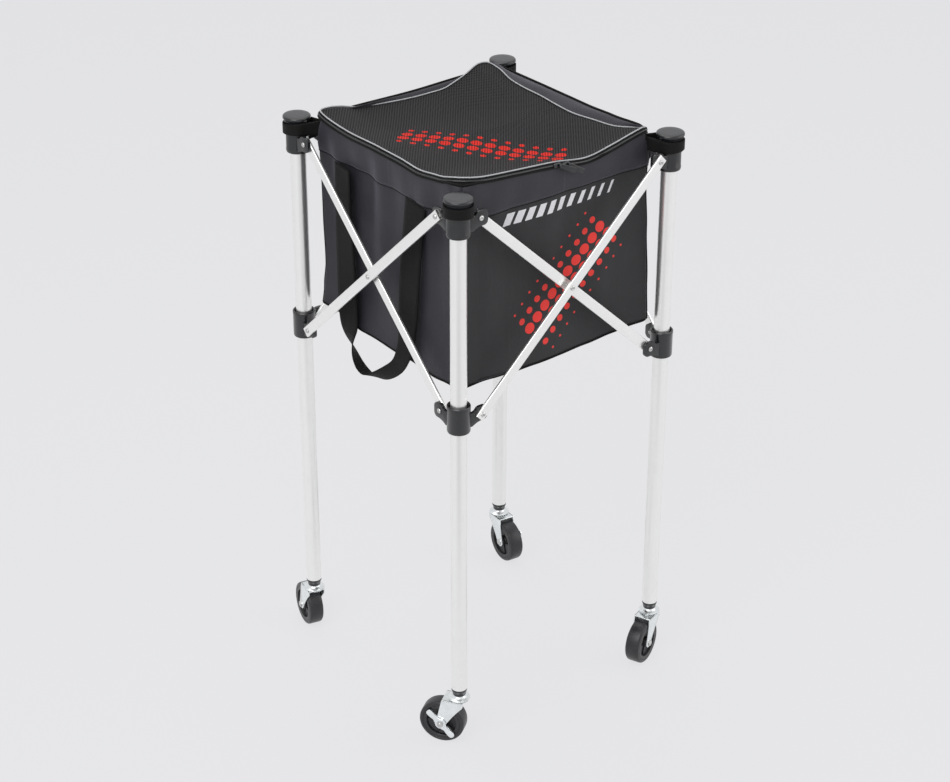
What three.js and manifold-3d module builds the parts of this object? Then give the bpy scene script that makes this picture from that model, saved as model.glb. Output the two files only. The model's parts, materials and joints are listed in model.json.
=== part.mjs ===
// Folding ball cart: four aluminium legs on casters, joined by scissor bars, carry a fabric bag with a mesh lid.
// Millimetres, +Z up. The origin is on the ground, midway between the four legs.
// The front leg stands at -X -Y, and the right, back and left legs follow it anticlockwise seen from above.
import * as THREE from 'three';
import { mergeVertices } from 'three/addons/utils/BufferGeometryUtils.js';
import Module from 'manifold-3d';

const wasm = await Module();
wasm.setup();

// Clearances
const gap = 0.3;
const boreClearance = 0.4;
const cutOverrun = 5;

// Frame
const legSpacing = 400;
const legLength = 819;
const tubeRadius = 12.5;
const tubeWall = 1.5;

// Scissor bars
const topPivotDrop = 22.2;
const pivotRise = 313.1;
const pivotReach = 32.5;
const barWidth = 16;
const barThickness = 5;
const barWall = 1;
const barEdgeRadius = 1.8;
const barEndMargin = 8;

// Ears of the corner brackets and sliding collars
const earThickness = 5;
const earOffset = 9;
const earRadius = 12;
const earNeckRise = 5;
const earDrop = 17;

// Pivot pins
const pinRadius = 2.5;
const pinHeadRadius = 4;
const pinHeadHeight = 1.8;
const spacerRadius = 6;

// Corner bracket at the top of a leg
const bracketRadius = 18;
const bracketHeight = 51;
const bracketTopWall = 4;
const tubeEndGap = 2;
const edgeRound = 2.5;

// Mushroom cap over the bracket
const capHeadRadius = 21.6;
const capTopWall = 7.9;
const capHeight = 29.2;
const capHeadHeight = 5.6;
const capHeadRound = 2.2;
const capSkirtRadius = 19.8;

// Collar that slides on the leg
const collarRadius = 17.6;
const collarDrop = 23.7;
const collarRise = 20.3;
const collarMouthFlare = 1.6;

// Caster
const wheelRadius = 37.2;
const wheelWidth = 24.6;
const treadRound = 3.5;
const wheelRecessRadius = 24;
const wheelRecessDepth = 4.5;
const wheelHubRadius = 9;
const wheelHubWidth = 25.2;
const casterTrail = 26.2;
const axleRadius = 3.4;
const axleHeadRadius = 5.5;
const axleHeadHeight = 3;
const forkThickness = 2;
const forkClearance = 6.4;
const forkCrownThickness = 2.4;
const forkFront = -10;
const forkBack = 25;
const forkFrontDepth = 8;
const forkFrontSweep = 5;
const forkFootRadius = 8.3;
const forkFootStart = THREE.MathUtils.degToRad(216);
const forkFootEnd = THREE.MathUtils.degToRad(370);
const raceRadius = 17;
const raceRimHeight = 1.9;
const raceShoulderRadius = 15;
const raceShoulderHeight = 3.3;
const raceHeight = 8.4;
const stemNeckRadius = 9.5;
const stemHeight = 20.8;
const stemFlareRadius = 11.6;
const stemFlangeRadius = 12.5;
const stemFlangeHeight = 2.2;
const stemPlugDepth = 26;
const kingPinRadius = 4;
const kingPinHeadRadius = 7;
const kingPinHeadHeight = 2;

// Brake lever on the front and back casters
const leverSpan = 22;
const leverEndRadius = 6;
const leverHubRadius = 9;
const leverWaist = 3.6;
const leverThickness = 2.4;
const leverTilt = THREE.MathUtils.degToRad(42);

// Bag
const bagInset = 19;
const bagWall = 1.8;
const bagDepth = 313.4;
const bagCornerRadius = 8;
const hemThickness = 3.4;
const hemHeight = 49;
const floorThickness = 2;
const loopThickness = 1.6;
const loopHeight = 21.5;
const loopRise = 1;
const loopTabThickness = 4;
const loopTabOverlap = 4.3;

// Mesh lid, in two halves with a soft crease between them, and the tape that hinges it
const lidThickness = 3;
const lidCornerRadius = 42;
const lidTapeWidth = 7;
const lidTapeEndMargin = 3;

// Carrying straps that hang from the hem
const strapWidth = 46;
const strapGatheredWidth = 20;
const strapThickness = 1.6;
const strapInset = 99;
const strapDrop = 327;

// Facet counts
const bodySides = 16;
const stemSides = 12;
const wheelSides = 20;
const axleSides = 10;
const pinSides = 8;
const arcSteps = 4;
const cornerSteps = 2;
const barSteps = 1;

// Directions of the casters at rest, as turns about their stems
const cornerNames = ['front', 'right', 'back', 'left'];
const faceNames = ['front_right', 'right_back', 'back_left', 'left_front'];
const casterTurns = [124.4, 201.4, 263.4, 77].map((turn) => THREE.MathUtils.degToRad(turn));
const brakedCorners = ['front', 'back'];

// Places that follow from the sizes above, the heights stacked from the ground up
const half = legSpacing / 2;
const forkTop = 2 * wheelRadius + forkClearance;
const legBottom = forkTop + stemHeight;
const legTop = legBottom + legLength;
const topPivotHeight = legTop - topPivotDrop;
const lowPivotHeight = topPivotHeight - pivotRise;
const collarBottom = lowPivotHeight - collarDrop;
const collarTop = lowPivotHeight + collarRise;
const bracketBoreTop = legTop + tubeEndGap;
const bracketTop = bracketBoreTop + bracketTopWall;
const bracketBottom = bracketTop - bracketHeight;
const capTop = bracketTop + gap + capTopWall;
const capSkirtBottom = capTop - capHeight;
const bagTop = bracketTop;
const bagBottom = bagTop - bagDepth;
const bagHalf = half - bagInset;
const hemBottom = bagTop - hemHeight;
const loopTop = bagTop + loopRise;
const loopBottom = loopTop - loopHeight;
const lidTapeHalfLength = bagHalf - lidCornerRadius - lidTapeEndMargin;
const strapCentre = bagHalf - strapInset;
const strapBottom = hemBottom - strapDrop;
const earInner = earOffset - earThickness / 2;
const earOuter = earOffset + earThickness / 2;
const innerBarMiddle = earInner - gap - barThickness / 2;
const outerBarMiddle = earOuter + gap + barThickness / 2;
const pivotHalfSpan = half - pivotReach;
const pivotMiddle = (topPivotHeight + lowPivotHeight) / 2;
const barLength = Math.hypot(2 * pivotHalfSpan, pivotRise);
const barLean = Math.atan2(2 * pivotHalfSpan, pivotRise);
const boreRadius = tubeRadius + boreClearance;
const holeRadius = pinRadius + boreClearance;
const axleHeight = wheelRadius * Math.cos(Math.PI / wheelSides);
const cheekInner = wheelHubWidth / 2 + gap;
const cheekOuter = cheekInner + forkThickness;

const materials = {
  tube: new THREE.MeshStandardMaterial({ color: 0xd9dad8, roughness: 0.35, metalness: 0.9 }),
  bar: new THREE.MeshStandardMaterial({ color: 0xe2e3e1, roughness: 0.4, metalness: 0.85 }),
  plastic: new THREE.MeshStandardMaterial({ color: 0x26282b, roughness: 0.5, metalness: 0 }),
  pin: new THREE.MeshStandardMaterial({ color: 0xb9bcbc, roughness: 0.3, metalness: 0.95 }),
  zinc: new THREE.MeshStandardMaterial({ color: 0xc9d3d4, roughness: 0.32, metalness: 0.9 }),
  wheel: new THREE.MeshStandardMaterial({ color: 0x1f2022, roughness: 0.55, metalness: 0 }),
  fabric: new THREE.MeshStandardMaterial({ color: 0x2c2b33, roughness: 0.85, metalness: 0 }),
  mesh: new THREE.MeshStandardMaterial({ color: 0x1c1d1f, roughness: 0.9, metalness: 0 }),
  webbing: new THREE.MeshStandardMaterial({ color: 0x17181a, roughness: 0.9, metalness: 0 }),
};

// Solids and geometries

function welded(geometry) {
  const bare = geometry.clone();
  bare.deleteAttribute('normal');
  bare.deleteAttribute('uv');
  return mergeVertices(bare);
}

function toSolid(geometry) {
  const closed = welded(geometry);
  const vertProperties = new Float32Array(closed.attributes.position.array);
  const triVerts = new Uint32Array(closed.index.array);
  return new wasm.Manifold(new wasm.Mesh({ numProp: 3, vertProperties, triVerts }));
}

function toGeometry(solid) {
  const mesh = solid.getMesh();
  const geometry = new THREE.BufferGeometry();
  geometry.setAttribute('position', new THREE.BufferAttribute(new Float32Array(mesh.vertProperties), 3));
  geometry.setIndex(new THREE.BufferAttribute(new Uint32Array(mesh.triVerts), 1));
  geometry.computeVertexNormals();
  return geometry;
}

function joined(parts) {
  return parts.reduce((sum, part) => sum.add(part));
}

function cut(solid, tools) {
  return tools.reduce((rest, tool) => rest.subtract(tool), solid);
}

// A revolved profile of [radius, height] pairs, about the Y axis.
function revolved(profile, sides) {
  const points = profile.map(([radius, height]) => new THREE.Vector2(radius, height));
  return new THREE.LatheGeometry(points, sides);
}

// The same, stood up about the Z axis.
function turned(profile, sides) {
  return revolved(profile, sides).rotateX(Math.PI / 2);
}

function rod(radius, bottom, top, sides) {
  return turned([[0, bottom], [radius, bottom], [radius, top], [0, top]], sides);
}

// A rod along Y between two places.
function crossRod(radius, start, end, sides) {
  return revolved([[0, start], [radius, start], [radius, end], [0, end]], sides);
}

function plate(shape, thickness, curveSegments = arcSteps) {
  return new THREE.ExtrudeGeometry(shape, { depth: thickness, bevelEnabled: false, curveSegments });
}

// A plate whose outline is drawn in X and Z and whose faces look along Y, from nearY to farY.
function uprightPlate(shape, nearY, farY) {
  return plate(shape, farY - nearY).rotateX(Math.PI / 2).translate(0, farY, 0);
}

function roundedRectangle(left, bottom, right, top, radius) {
  const shape = new THREE.Shape();
  shape.moveTo(left + radius, bottom);
  shape.lineTo(right - radius, bottom);
  shape.absarc(right - radius, bottom + radius, radius, -Math.PI / 2, 0, false);
  shape.lineTo(right, top - radius);
  shape.absarc(right - radius, top - radius, radius, 0, Math.PI / 2, false);
  shape.lineTo(left + radius, top);
  shape.absarc(left + radius, top - radius, radius, Math.PI / 2, Math.PI, false);
  shape.lineTo(left, bottom + radius);
  shape.absarc(left + radius, bottom + radius, radius, Math.PI, 1.5 * Math.PI, false);
  return shape;
}

function named(name, geometry, material) {
  const mesh = new THREE.Mesh(geometry, material);
  mesh.name = name;
  return mesh;
}

// Legs, brackets, caps and collars. Each is drawn about its leg's axis, at its real height.

function legTube() {
  const inner = tubeRadius - tubeWall;
  const ring = [[inner, legBottom], [tubeRadius, legBottom], [tubeRadius, legTop], [inner, legTop]];
  return turned([...ring, ring[0]], bodySides);
}

// An ear: a round end about the pivot, a neck to the body and a gusset that sweeps down to it.
function earOutline() {
  const shape = new THREE.Shape();
  const neckAngle = Math.PI - Math.asin(earNeckRise / earRadius);
  const footAngle = -THREE.MathUtils.degToRad(112);
  const footX = pivotReach + earRadius * Math.cos(footAngle);
  const footZ = earRadius * Math.sin(footAngle);
  shape.moveTo(0, earNeckRise);
  shape.lineTo(pivotReach + earRadius * Math.cos(neckAngle), earNeckRise);
  shape.absarc(pivotReach, 0, earRadius, neckAngle, footAngle, true);
  shape.quadraticCurveTo(bracketRadius + gap, footZ, (footX + bracketRadius) / 2 - earThickness, -earDrop);
  shape.lineTo(0, -earDrop);
  return shape;
}

// Both ears of a corner: one along +X for this side's bars, one along +Y for the side before it.
function cornerEars(height) {
  const along = uprightPlate(earOutline(), -earOuter, -earInner).translate(0, 0, height);
  const across = along.clone().applyMatrix4(
    new THREE.Matrix4().makeBasis(
      new THREE.Vector3(0, 1, 0),
      new THREE.Vector3(1, 0, 0),
      new THREE.Vector3(0, 0, 1),
    ),
  );
  return [toSolid(along), toSolid(facingOut(across))];
}

// Turns a mirrored geometry's triangles back to face outwards.
function facingOut(geometry) {
  const closed = welded(geometry);
  const index = closed.index.array;
  for (let i = 0; i < index.length; i += 3) {
    [index[i], index[i + 1]] = [index[i + 1], index[i]];
  }
  return closed;
}

function earHoles(height) {
  const along = crossRod(holeRadius, -earOuter - cutOverrun, -earInner + cutOverrun, pinSides);
  along.translate(pivotReach, 0, height);
  const across = crossRod(holeRadius, -earOuter - cutOverrun, -earInner + cutOverrun, pinSides);
  across.rotateZ(-Math.PI / 2).translate(0, pivotReach, height);
  return [toSolid(along), toSolid(across)];
}

function cornerBracket() {
  const body = turned([
    [0, bracketBottom],
    [bracketRadius - edgeRound, bracketBottom],
    [bracketRadius, bracketBottom + edgeRound],
    [bracketRadius, bracketTop],
    [0, bracketTop],
  ], bodySides);
  const bore = rod(boreRadius, bracketBottom - cutOverrun, bracketBoreTop, bodySides);
  const solid = joined([toSolid(body), ...cornerEars(topPivotHeight)]);
  return toGeometry(cut(solid, [toSolid(bore), ...earHoles(topPivotHeight)]));
}

function mushroomCap() {
  const headBottom = capTop - capHeadHeight;
  const boreRadiusOverBracket = bracketRadius + boreClearance;
  const bore = bracketTop + gap;
  return turned([
    [0, bore],
    [boreRadiusOverBracket, bore],
    [boreRadiusOverBracket, capSkirtBottom],
    [capSkirtRadius, capSkirtBottom],
    [capSkirtRadius, headBottom],
    [capHeadRadius, headBottom],
    [capHeadRadius, capTop - capHeadRound],
    [capHeadRadius - capHeadRound * 0.3, capTop - capHeadRound * 0.3],
    [capHeadRadius - capHeadRound, capTop],
    [0, capTop],
  ], bodySides);
}

function slideCollar() {
  const body = turned([
    [0, collarBottom],
    [collarRadius - edgeRound, collarBottom],
    [collarRadius, collarBottom + edgeRound],
    [collarRadius, collarTop - collarMouthFlare / 2],
    [collarRadius - collarMouthFlare / 2, collarTop],
    [0, collarTop],
  ], bodySides);
  const bore = turned([
    [0, collarBottom - cutOverrun],
    [boreRadius, collarBottom - cutOverrun],
    [boreRadius, collarTop - collarMouthFlare],
    [boreRadius + collarMouthFlare + cutOverrun, collarTop + cutOverrun],
    [0, collarTop + cutOverrun],
  ], bodySides);
  const solid = joined([toSolid(body), ...cornerEars(lowPivotHeight)]);
  return toGeometry(cut(solid, [toSolid(bore), ...earHoles(lowPivotHeight)]));
}

// Scissor bars: flat oval tube along Z, wide in X, thin in Y, drawn about its middle.

// A pin fixed in its bar at the far end, with a domed head at each end. The near head keeps a gap to what it holds.
function pivotPin(near, far) {
  const dome = pinHeadHeight / 2;
  const seat = near - gap;
  return revolved([
    [0, seat - pinHeadHeight],
    [pinHeadRadius - dome, seat - pinHeadHeight],
    [pinHeadRadius, seat],
    [pinRadius, seat],
    [pinRadius, far - barWall / 2],
    [pinHeadRadius, far - barWall / 2],
    [pinHeadRadius - dome, far + pinHeadHeight],
    [0, far + pinHeadHeight],
  ], pinSides);
}

function barTube() {
  const halfLength = barLength / 2 + barEndMargin;
  const x = barWidth / 2;
  const y = barThickness / 2;
  const outer = roundedRectangle(-x, -y, x, y, barEdgeRadius);
  const innerRadius = barEdgeRadius - barWall;
  outer.holes.push(roundedRectangle(-x + barWall, -y + barWall, x - barWall, y - barWall, innerRadius));
  return toSolid(plate(outer, 2 * halfLength, barSteps).translate(0, 0, -halfLength));
}

// The inner bar carries the pins of its two ears, and the middle pin with the shoulder that spaces the bars.
function innerBar() {
  const face = barThickness / 2;
  const ends = [-barLength / 2, barLength / 2].map((place) =>
    toSolid(pivotPin(innerBarMiddle - earOuter, face).translate(0, 0, place)));
  const outerFace = innerBarMiddle - outerBarMiddle - face;
  const middle = toSolid(pivotPin(outerFace, face));
  const shoulder = toSolid(crossRod(spacerRadius, innerBarMiddle - earOuter, -face + barWall / 2, pinSides));
  return toGeometry(joined([barTube(), ...ends, middle, shoulder]));
}

// The outer bar carries the pins of its two ears and has a hole for the middle pin.
function outerBar() {
  const face = barThickness / 2;
  const ends = [-barLength / 2, barLength / 2].map((place) => {
    const pin = pivotPin(earInner - outerBarMiddle, face);
    return toSolid(pin.rotateZ(Math.PI).translate(0, 0, place));
  });
  const hole = toSolid(crossRod(holeRadius, -barThickness, barThickness, pinSides));
  return toGeometry(cut(joined([barTube(), ...ends]), [hole]));
}

// Casters, drawn about the leg's axis with the wheel trailing along +X.

function casterStem() {
  const forkUnderside = forkTop - forkCrownThickness;
  const raceBottom = forkTop + gap;
  const flangeTop = legBottom - gap;
  const plugRadius = tubeRadius - tubeWall - boreClearance;
  return turned([
    [0, forkUnderside - gap - kingPinHeadHeight],
    [kingPinHeadRadius, forkUnderside - gap - kingPinHeadHeight],
    [kingPinHeadRadius, forkUnderside - gap],
    [kingPinRadius, forkUnderside - gap],
    [kingPinRadius, raceBottom],
    [raceRadius, raceBottom],
    [raceRadius, raceBottom + raceRimHeight],
    [raceShoulderRadius, raceBottom + raceShoulderHeight],
    [stemNeckRadius, raceBottom + raceHeight],
    [stemFlareRadius, flangeTop - stemFlangeHeight],
    [stemFlangeRadius, flangeTop - stemFlangeHeight],
    [stemFlangeRadius, flangeTop],
    [plugRadius, flangeTop],
    [plugRadius, flangeTop + stemPlugDepth],
    [0, flangeTop + stemPlugDepth],
  ], stemSides);
}

// A side cheek of the fork: flat on top, a near straight back edge, a round foot at the axle and a swept front edge.
function cheekOutline() {
  const shape = new THREE.Shape();
  const frontBottom = forkTop - forkFrontDepth;
  const footX = casterTrail + forkFootRadius * Math.cos(forkFootStart);
  const footZ = axleHeight + forkFootRadius * Math.sin(forkFootStart);
  const sweepX = (forkFront + footX) / 2 + forkFrontSweep;
  const sweepZ = (frontBottom + footZ) / 2 + forkFrontSweep;
  shape.moveTo(forkFront, forkTop);
  shape.lineTo(forkFront, frontBottom);
  shape.quadraticCurveTo(sweepX, sweepZ, footX, footZ);
  shape.absarc(casterTrail, axleHeight, forkFootRadius, forkFootStart, forkFootEnd, false);
  shape.lineTo(forkBack, forkTop);
  return shape;
}

// The crown: a square-cornered plate under the bearing that reaches back over the wheel.
function crownOutline() {
  const shape = new THREE.Shape();
  shape.moveTo(forkFront, -cheekOuter);
  shape.lineTo(forkBack, -cheekOuter);
  shape.lineTo(forkBack, cheekOuter);
  shape.lineTo(forkFront, cheekOuter);
  return shape;
}

function casterFork() {
  const crown = toSolid(plate(crownOutline(), forkCrownThickness).translate(0, 0, forkTop - forkCrownThickness));
  const cheek = cheekOutline();
  const cheeks = [
    toSolid(uprightPlate(cheek, cheekInner, cheekOuter)),
    toSolid(uprightPlate(cheek, -cheekOuter, -cheekInner)),
  ];
  const axleHole = crossRod(axleRadius + boreClearance, -cheekOuter - cutOverrun, cheekOuter + cutOverrun, axleSides);
  const kingHole = rod(kingPinRadius + boreClearance, forkTop - cutOverrun, forkTop + cutOverrun, stemSides);
  return toGeometry(cut(joined([crown, ...cheeks]), [
    toSolid(axleHole.translate(casterTrail, 0, axleHeight)),
    toSolid(kingHole),
  ]));
}

function casterWheel() {
  const side = wheelWidth / 2;
  const recess = side - wheelRecessDepth;
  const hub = wheelHubWidth / 2;
  const bore = axleRadius + boreClearance;
  const tread = wheelRadius - treadRound;
  const bulge = treadRound * 0.35;
  const quarter = [
    [bore, hub],
    [wheelHubRadius, hub],
    [wheelHubRadius, recess],
    [wheelRecessRadius, recess],
    [tread, side],
    [wheelRadius - bulge, side - bulge],
    [wheelRadius, side - treadRound],
  ];
  const otherHalf = quarter.map(([radius, height]) => [radius, -height]);
  const ring = [...otherHalf, ...quarter.reverse()];
  const wheel = revolved([...ring, ring[0]], wheelSides);
  return wheel.rotateY(Math.PI / wheelSides).translate(casterTrail, 0, axleHeight);
}

function casterAxle(leverSpace) {
  const near = -cheekOuter - gap;
  const far = cheekOuter + gap + leverSpace;
  return revolved([
    [0, near - axleHeadHeight],
    [axleHeadRadius, near - axleHeadHeight],
    [axleHeadRadius, near],
    [axleRadius, near],
    [axleRadius, far],
    [axleHeadRadius, far],
    [axleHeadRadius, far + axleHeadHeight],
    [0, far + axleHeadHeight],
  ], axleSides).translate(casterTrail, 0, axleHeight);
}

// A two-winged lever on the axle: round pads at the ends, a round hub and a narrow waist.
function brakeLever() {
  const disc = (radius, place) => {
    const shape = new THREE.Shape();
    shape.absarc(place, 0, radius, 0, 2 * Math.PI, false);
    return toSolid(uprightPlate(shape, 0, leverThickness));
  };
  const waist = new THREE.Shape();
  waist.moveTo(-leverSpan, -leverWaist);
  waist.lineTo(leverSpan, -leverWaist);
  waist.lineTo(leverSpan, leverWaist);
  waist.lineTo(-leverSpan, leverWaist);
  const hub = disc(leverHubRadius, 0);
  const pads = [-leverSpan, leverSpan].map((place) => disc(leverEndRadius, place));
  const solid = joined([hub, ...pads, toSolid(uprightPlate(waist, 0, leverThickness))]);
  const hole = crossRod(axleRadius + boreClearance, -cutOverrun, leverThickness + cutOverrun, axleSides);
  const lever = toGeometry(cut(solid, [toSolid(hole)]));
  return lever.rotateY(-leverTilt).translate(casterTrail, cheekOuter + gap, axleHeight);
}

// Bag, its corner loops and its floor

function squareRing(outerHalf, innerHalf, outerRadius) {
  const outer = roundedRectangle(-outerHalf, -outerHalf, outerHalf, outerHalf, outerRadius);
  const innerRadius = outerRadius - (outerHalf - innerHalf);
  outer.holes.push(roundedRectangle(-innerHalf, -innerHalf, innerHalf, innerHalf, innerRadius));
  return outer;
}

// A loop of webbing round the cap's skirt, with a doubled tab that ends inside the bag's corner.
function cornerLoop(turn) {
  const inner = capSkirtRadius + boreClearance;
  const outer = inner + loopThickness;
  const bagCorner = Math.SQRT2 * (half - bagHalf + bagCornerRadius) - bagCornerRadius;
  const loopTabReach = bagCorner - inner - loopThickness / 2 + loopTabOverlap;
  const ring = [[inner, loopBottom], [outer, loopBottom], [outer, loopTop], [inner, loopTop]];
  const band = turned([...ring, ring[0]], bodySides);
  const tab = new THREE.BoxGeometry(loopTabReach, loopTabThickness, bagTop - loopBottom);
  tab.translate(inner + loopThickness / 2 + loopTabReach / 2, 0, (bagTop + loopBottom) / 2);
  tab.rotateZ(Math.PI / 4);
  return [band, tab].map((piece) => toSolid(piece.translate(-half, -half, 0).rotateZ(turn)));
}

function bag() {
  const wall = squareRing(bagHalf, bagHalf - bagWall, bagCornerRadius);
  const hemHalf = bagHalf - bagWall + hemThickness;
  const hem = squareRing(hemHalf, bagHalf - bagWall, bagCornerRadius + hemThickness - bagWall);
  const shell = toSolid(plate(wall, bagTop - bagBottom, cornerSteps).translate(0, 0, bagBottom));
  const band = toSolid(plate(hem, bagTop - hemBottom, cornerSteps).translate(0, 0, hemBottom));
  const loops = cornerNames.flatMap((_, i) => cornerLoop(i * Math.PI / 2));
  return toGeometry(joined([shell, band, ...loops]));
}

// Half of the floor: it reaches from one wall to the crease in the middle.
function floorHalf() {
  const edge = bagHalf - bagWall - gap;
  const radius = bagCornerRadius - bagWall;
  const shape = new THREE.Shape();
  shape.moveTo(-edge, -gap / 2);
  shape.lineTo(-edge, -edge + radius);
  shape.absarc(-edge + radius, -edge + radius, radius, Math.PI, 1.5 * Math.PI, false);
  shape.lineTo(edge - radius, -edge);
  shape.absarc(edge - radius, -edge + radius, radius, 1.5 * Math.PI, 2 * Math.PI, false);
  shape.lineTo(edge, -gap / 2);
  return plate(shape, floorThickness, cornerSteps).translate(0, 0, bagBottom);
}

// Lid: the back half stops at the hinge tape, and the front half has round corners.

function lidFront() {
  const edge = bagHalf;
  const shape = new THREE.Shape();
  shape.moveTo(-edge, -gap / 2);
  shape.lineTo(-edge, -edge + lidCornerRadius);
  shape.absarc(-edge + lidCornerRadius, -edge + lidCornerRadius, lidCornerRadius, Math.PI, 1.5 * Math.PI, false);
  shape.lineTo(edge - lidCornerRadius, -edge);
  shape.absarc(edge - lidCornerRadius, -edge + lidCornerRadius, lidCornerRadius, 1.5 * Math.PI, 2 * Math.PI, false);
  shape.lineTo(edge, -gap / 2);
  return plate(shape, lidThickness).translate(0, 0, bagTop + gap);
}

function lidBack() {
  const edge = bagHalf;
  const tapeFront = edge - lidTapeWidth - gap;
  const shape = new THREE.Shape();
  shape.moveTo(-edge, gap / 2);
  shape.lineTo(edge, gap / 2);
  shape.lineTo(edge, edge - lidCornerRadius);
  shape.quadraticCurveTo(edge, tapeFront, edge - lidCornerRadius, tapeFront);
  shape.lineTo(-edge + lidCornerRadius, tapeFront);
  shape.quadraticCurveTo(-edge, tapeFront, -edge, edge - lidCornerRadius);
  return plate(shape, lidThickness).translate(0, 0, bagTop + gap);
}

function lidTape() {
  const tape = new THREE.BoxGeometry(2 * lidTapeHalfLength, lidTapeWidth, lidThickness);
  return tape.translate(0, bagHalf - lidTapeWidth / 2, bagTop + gap + lidThickness / 2);
}

// A long U of webbing that hangs outside a wall, its two ends at the hem. At the bend it is gathered narrower.
function strap() {
  const outer = strapCentre + strapWidth / 2;
  const inner = strapCentre - strapWidth / 2;
  const bend = strapBottom + outer;
  const innerDrop = bend - strapBottom - strapGatheredWidth;
  const top = hemBottom - gap;
  const shape = new THREE.Shape();
  shape.moveTo(-outer, top);
  shape.lineTo(-outer, bend);
  shape.absarc(0, bend, outer, Math.PI, 2 * Math.PI, false);
  shape.lineTo(outer, top);
  shape.lineTo(inner, top);
  shape.lineTo(inner, bend);
  shape.absellipse(0, bend, inner, innerDrop, 2 * Math.PI, Math.PI, true);
  shape.lineTo(-inner, top);
  const near = -bagHalf - gap - strapThickness;
  return uprightPlate(shape, near, near + strapThickness);
}

// Assembly: everything at a corner or on a side is drawn once and turned to its place.

const cart = new THREE.Group();

const cornerPieces = [
  ['leg_tube', legTube(), materials.tube],
  ['corner_bracket', cornerBracket(), materials.plastic],
  ['top_cap', mushroomCap(), materials.plastic],
  ['slide_collar', slideCollar(), materials.plastic],
  ['caster_stem', casterStem(), materials.zinc],
];
const casterPieces = [
  ['caster_fork', casterFork(), materials.zinc],
  ['caster_wheel', casterWheel(), materials.wheel],
];

cornerNames.forEach((corner, i) => {
  const side = new THREE.Group();
  side.rotation.z = i * Math.PI / 2;
  const leg = new THREE.Group();
  leg.position.set(-half, -half, 0);
  side.add(leg);
  for (const [name, geometry, material] of cornerPieces) {
    leg.add(named(`${name}_${corner}`, geometry, material));
  }
  const caster = new THREE.Group();
  caster.rotation.z = casterTurns[i] - side.rotation.z;
  leg.add(caster);
  for (const [name, geometry, material] of casterPieces) {
    caster.add(named(`${name}_${corner}`, geometry, material));
  }
  const braked = brakedCorners.includes(corner);
  const leverSpace = braked ? leverThickness + gap : 0;
  caster.add(named(`caster_axle_${corner}`, casterAxle(leverSpace), materials.pin));
  if (braked) {
    caster.add(named(`brake_lever_${corner}`, brakeLever(), materials.zinc));
  }
  cart.add(side);
});

const innerBarGeometry = innerBar();
const outerBarGeometry = outerBar();
faceNames.forEach((face, i) => {
  const side = new THREE.Group();
  side.rotation.z = i * Math.PI / 2;
  const inner = named(`inner_bar_${face}`, innerBarGeometry, materials.bar);
  inner.position.set(0, -half - innerBarMiddle, pivotMiddle);
  inner.rotation.y = -barLean;
  const outer = named(`outer_bar_${face}`, outerBarGeometry, materials.bar);
  outer.position.set(0, -half - outerBarMiddle, pivotMiddle);
  outer.rotation.y = barLean;
  side.add(inner, outer);
  cart.add(side);
});

const floorFront = named('bag_floor_front', floorHalf(), materials.fabric);
const floorBack = named('bag_floor_back', floorHalf(), materials.fabric);
floorBack.rotation.z = Math.PI;
cart.add(named('bag', bag(), materials.fabric), floorFront, floorBack);
cart.add(named('lid_front', lidFront(), materials.mesh));
cart.add(named('lid_back', lidBack(), materials.mesh));
cart.add(named('lid_hinge_tape', lidTape(), materials.webbing));
const strapGeometry = strap();
const leftStrap = named('carry_strap_left', strapGeometry, materials.webbing);
const rightStrap = named('carry_strap_right', strapGeometry, materials.webbing);
leftStrap.rotation.z = -Math.PI / 2;
rightStrap.rotation.z = Math.PI / 2;
cart.add(leftStrap, rightStrap);

export default cart;
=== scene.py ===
# Folding ball cart: looks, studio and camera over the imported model. Metres, +Z up.
# The front leg stands at -X -Y; the right, back and left legs follow anticlockwise seen from above.

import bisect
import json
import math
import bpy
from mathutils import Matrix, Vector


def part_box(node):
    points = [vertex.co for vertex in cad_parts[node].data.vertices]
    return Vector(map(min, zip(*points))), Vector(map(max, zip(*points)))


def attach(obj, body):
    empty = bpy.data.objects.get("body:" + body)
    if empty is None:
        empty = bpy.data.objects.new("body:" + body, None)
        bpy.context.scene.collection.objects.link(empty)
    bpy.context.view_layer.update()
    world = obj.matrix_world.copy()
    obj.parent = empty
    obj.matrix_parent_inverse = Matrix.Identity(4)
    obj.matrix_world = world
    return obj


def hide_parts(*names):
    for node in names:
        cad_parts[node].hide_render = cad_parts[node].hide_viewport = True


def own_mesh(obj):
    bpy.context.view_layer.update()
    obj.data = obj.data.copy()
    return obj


bl_info = {
    "name": "Folding Ball Cart",
    "version": (1, 0, 0),
    "blender": (4, 5, 0),
    "location": "3D View > Sidebar > Ball Cart",
    "description": "Builds a folding ball cart with a fabric bag and a zipped mesh lid",
    "category": "Object",
}

import bmesh
import bpy
from bpy.props import FloatProperty, FloatVectorProperty, IntProperty, PointerProperty
from bpy.types import Operator, Panel, PropertyGroup
from mathutils import Matrix, Vector

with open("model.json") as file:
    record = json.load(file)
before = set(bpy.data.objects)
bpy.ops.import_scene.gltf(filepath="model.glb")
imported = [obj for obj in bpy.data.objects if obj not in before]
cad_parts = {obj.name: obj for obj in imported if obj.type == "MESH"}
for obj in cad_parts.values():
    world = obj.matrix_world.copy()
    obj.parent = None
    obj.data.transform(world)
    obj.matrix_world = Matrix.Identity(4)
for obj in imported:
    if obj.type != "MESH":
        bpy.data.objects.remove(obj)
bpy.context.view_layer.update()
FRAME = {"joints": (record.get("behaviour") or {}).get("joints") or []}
JOINTS = {joint["name"]: joint for joint in FRAME["joints"]}

CORNERS = ("front", "right", "back", "left")
SIDES = ("front_right", "right_back", "back_left", "left_front")
LEG = Vector((-0.2, -0.2, 0))
RIM = JOINTS["fold"]["pos_m"][2] + 0.0282
ALONG_X, ALONG_Y = (1, 0, 0), (0, 1, 0)
UP = Vector((0, 0, 1))


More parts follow.
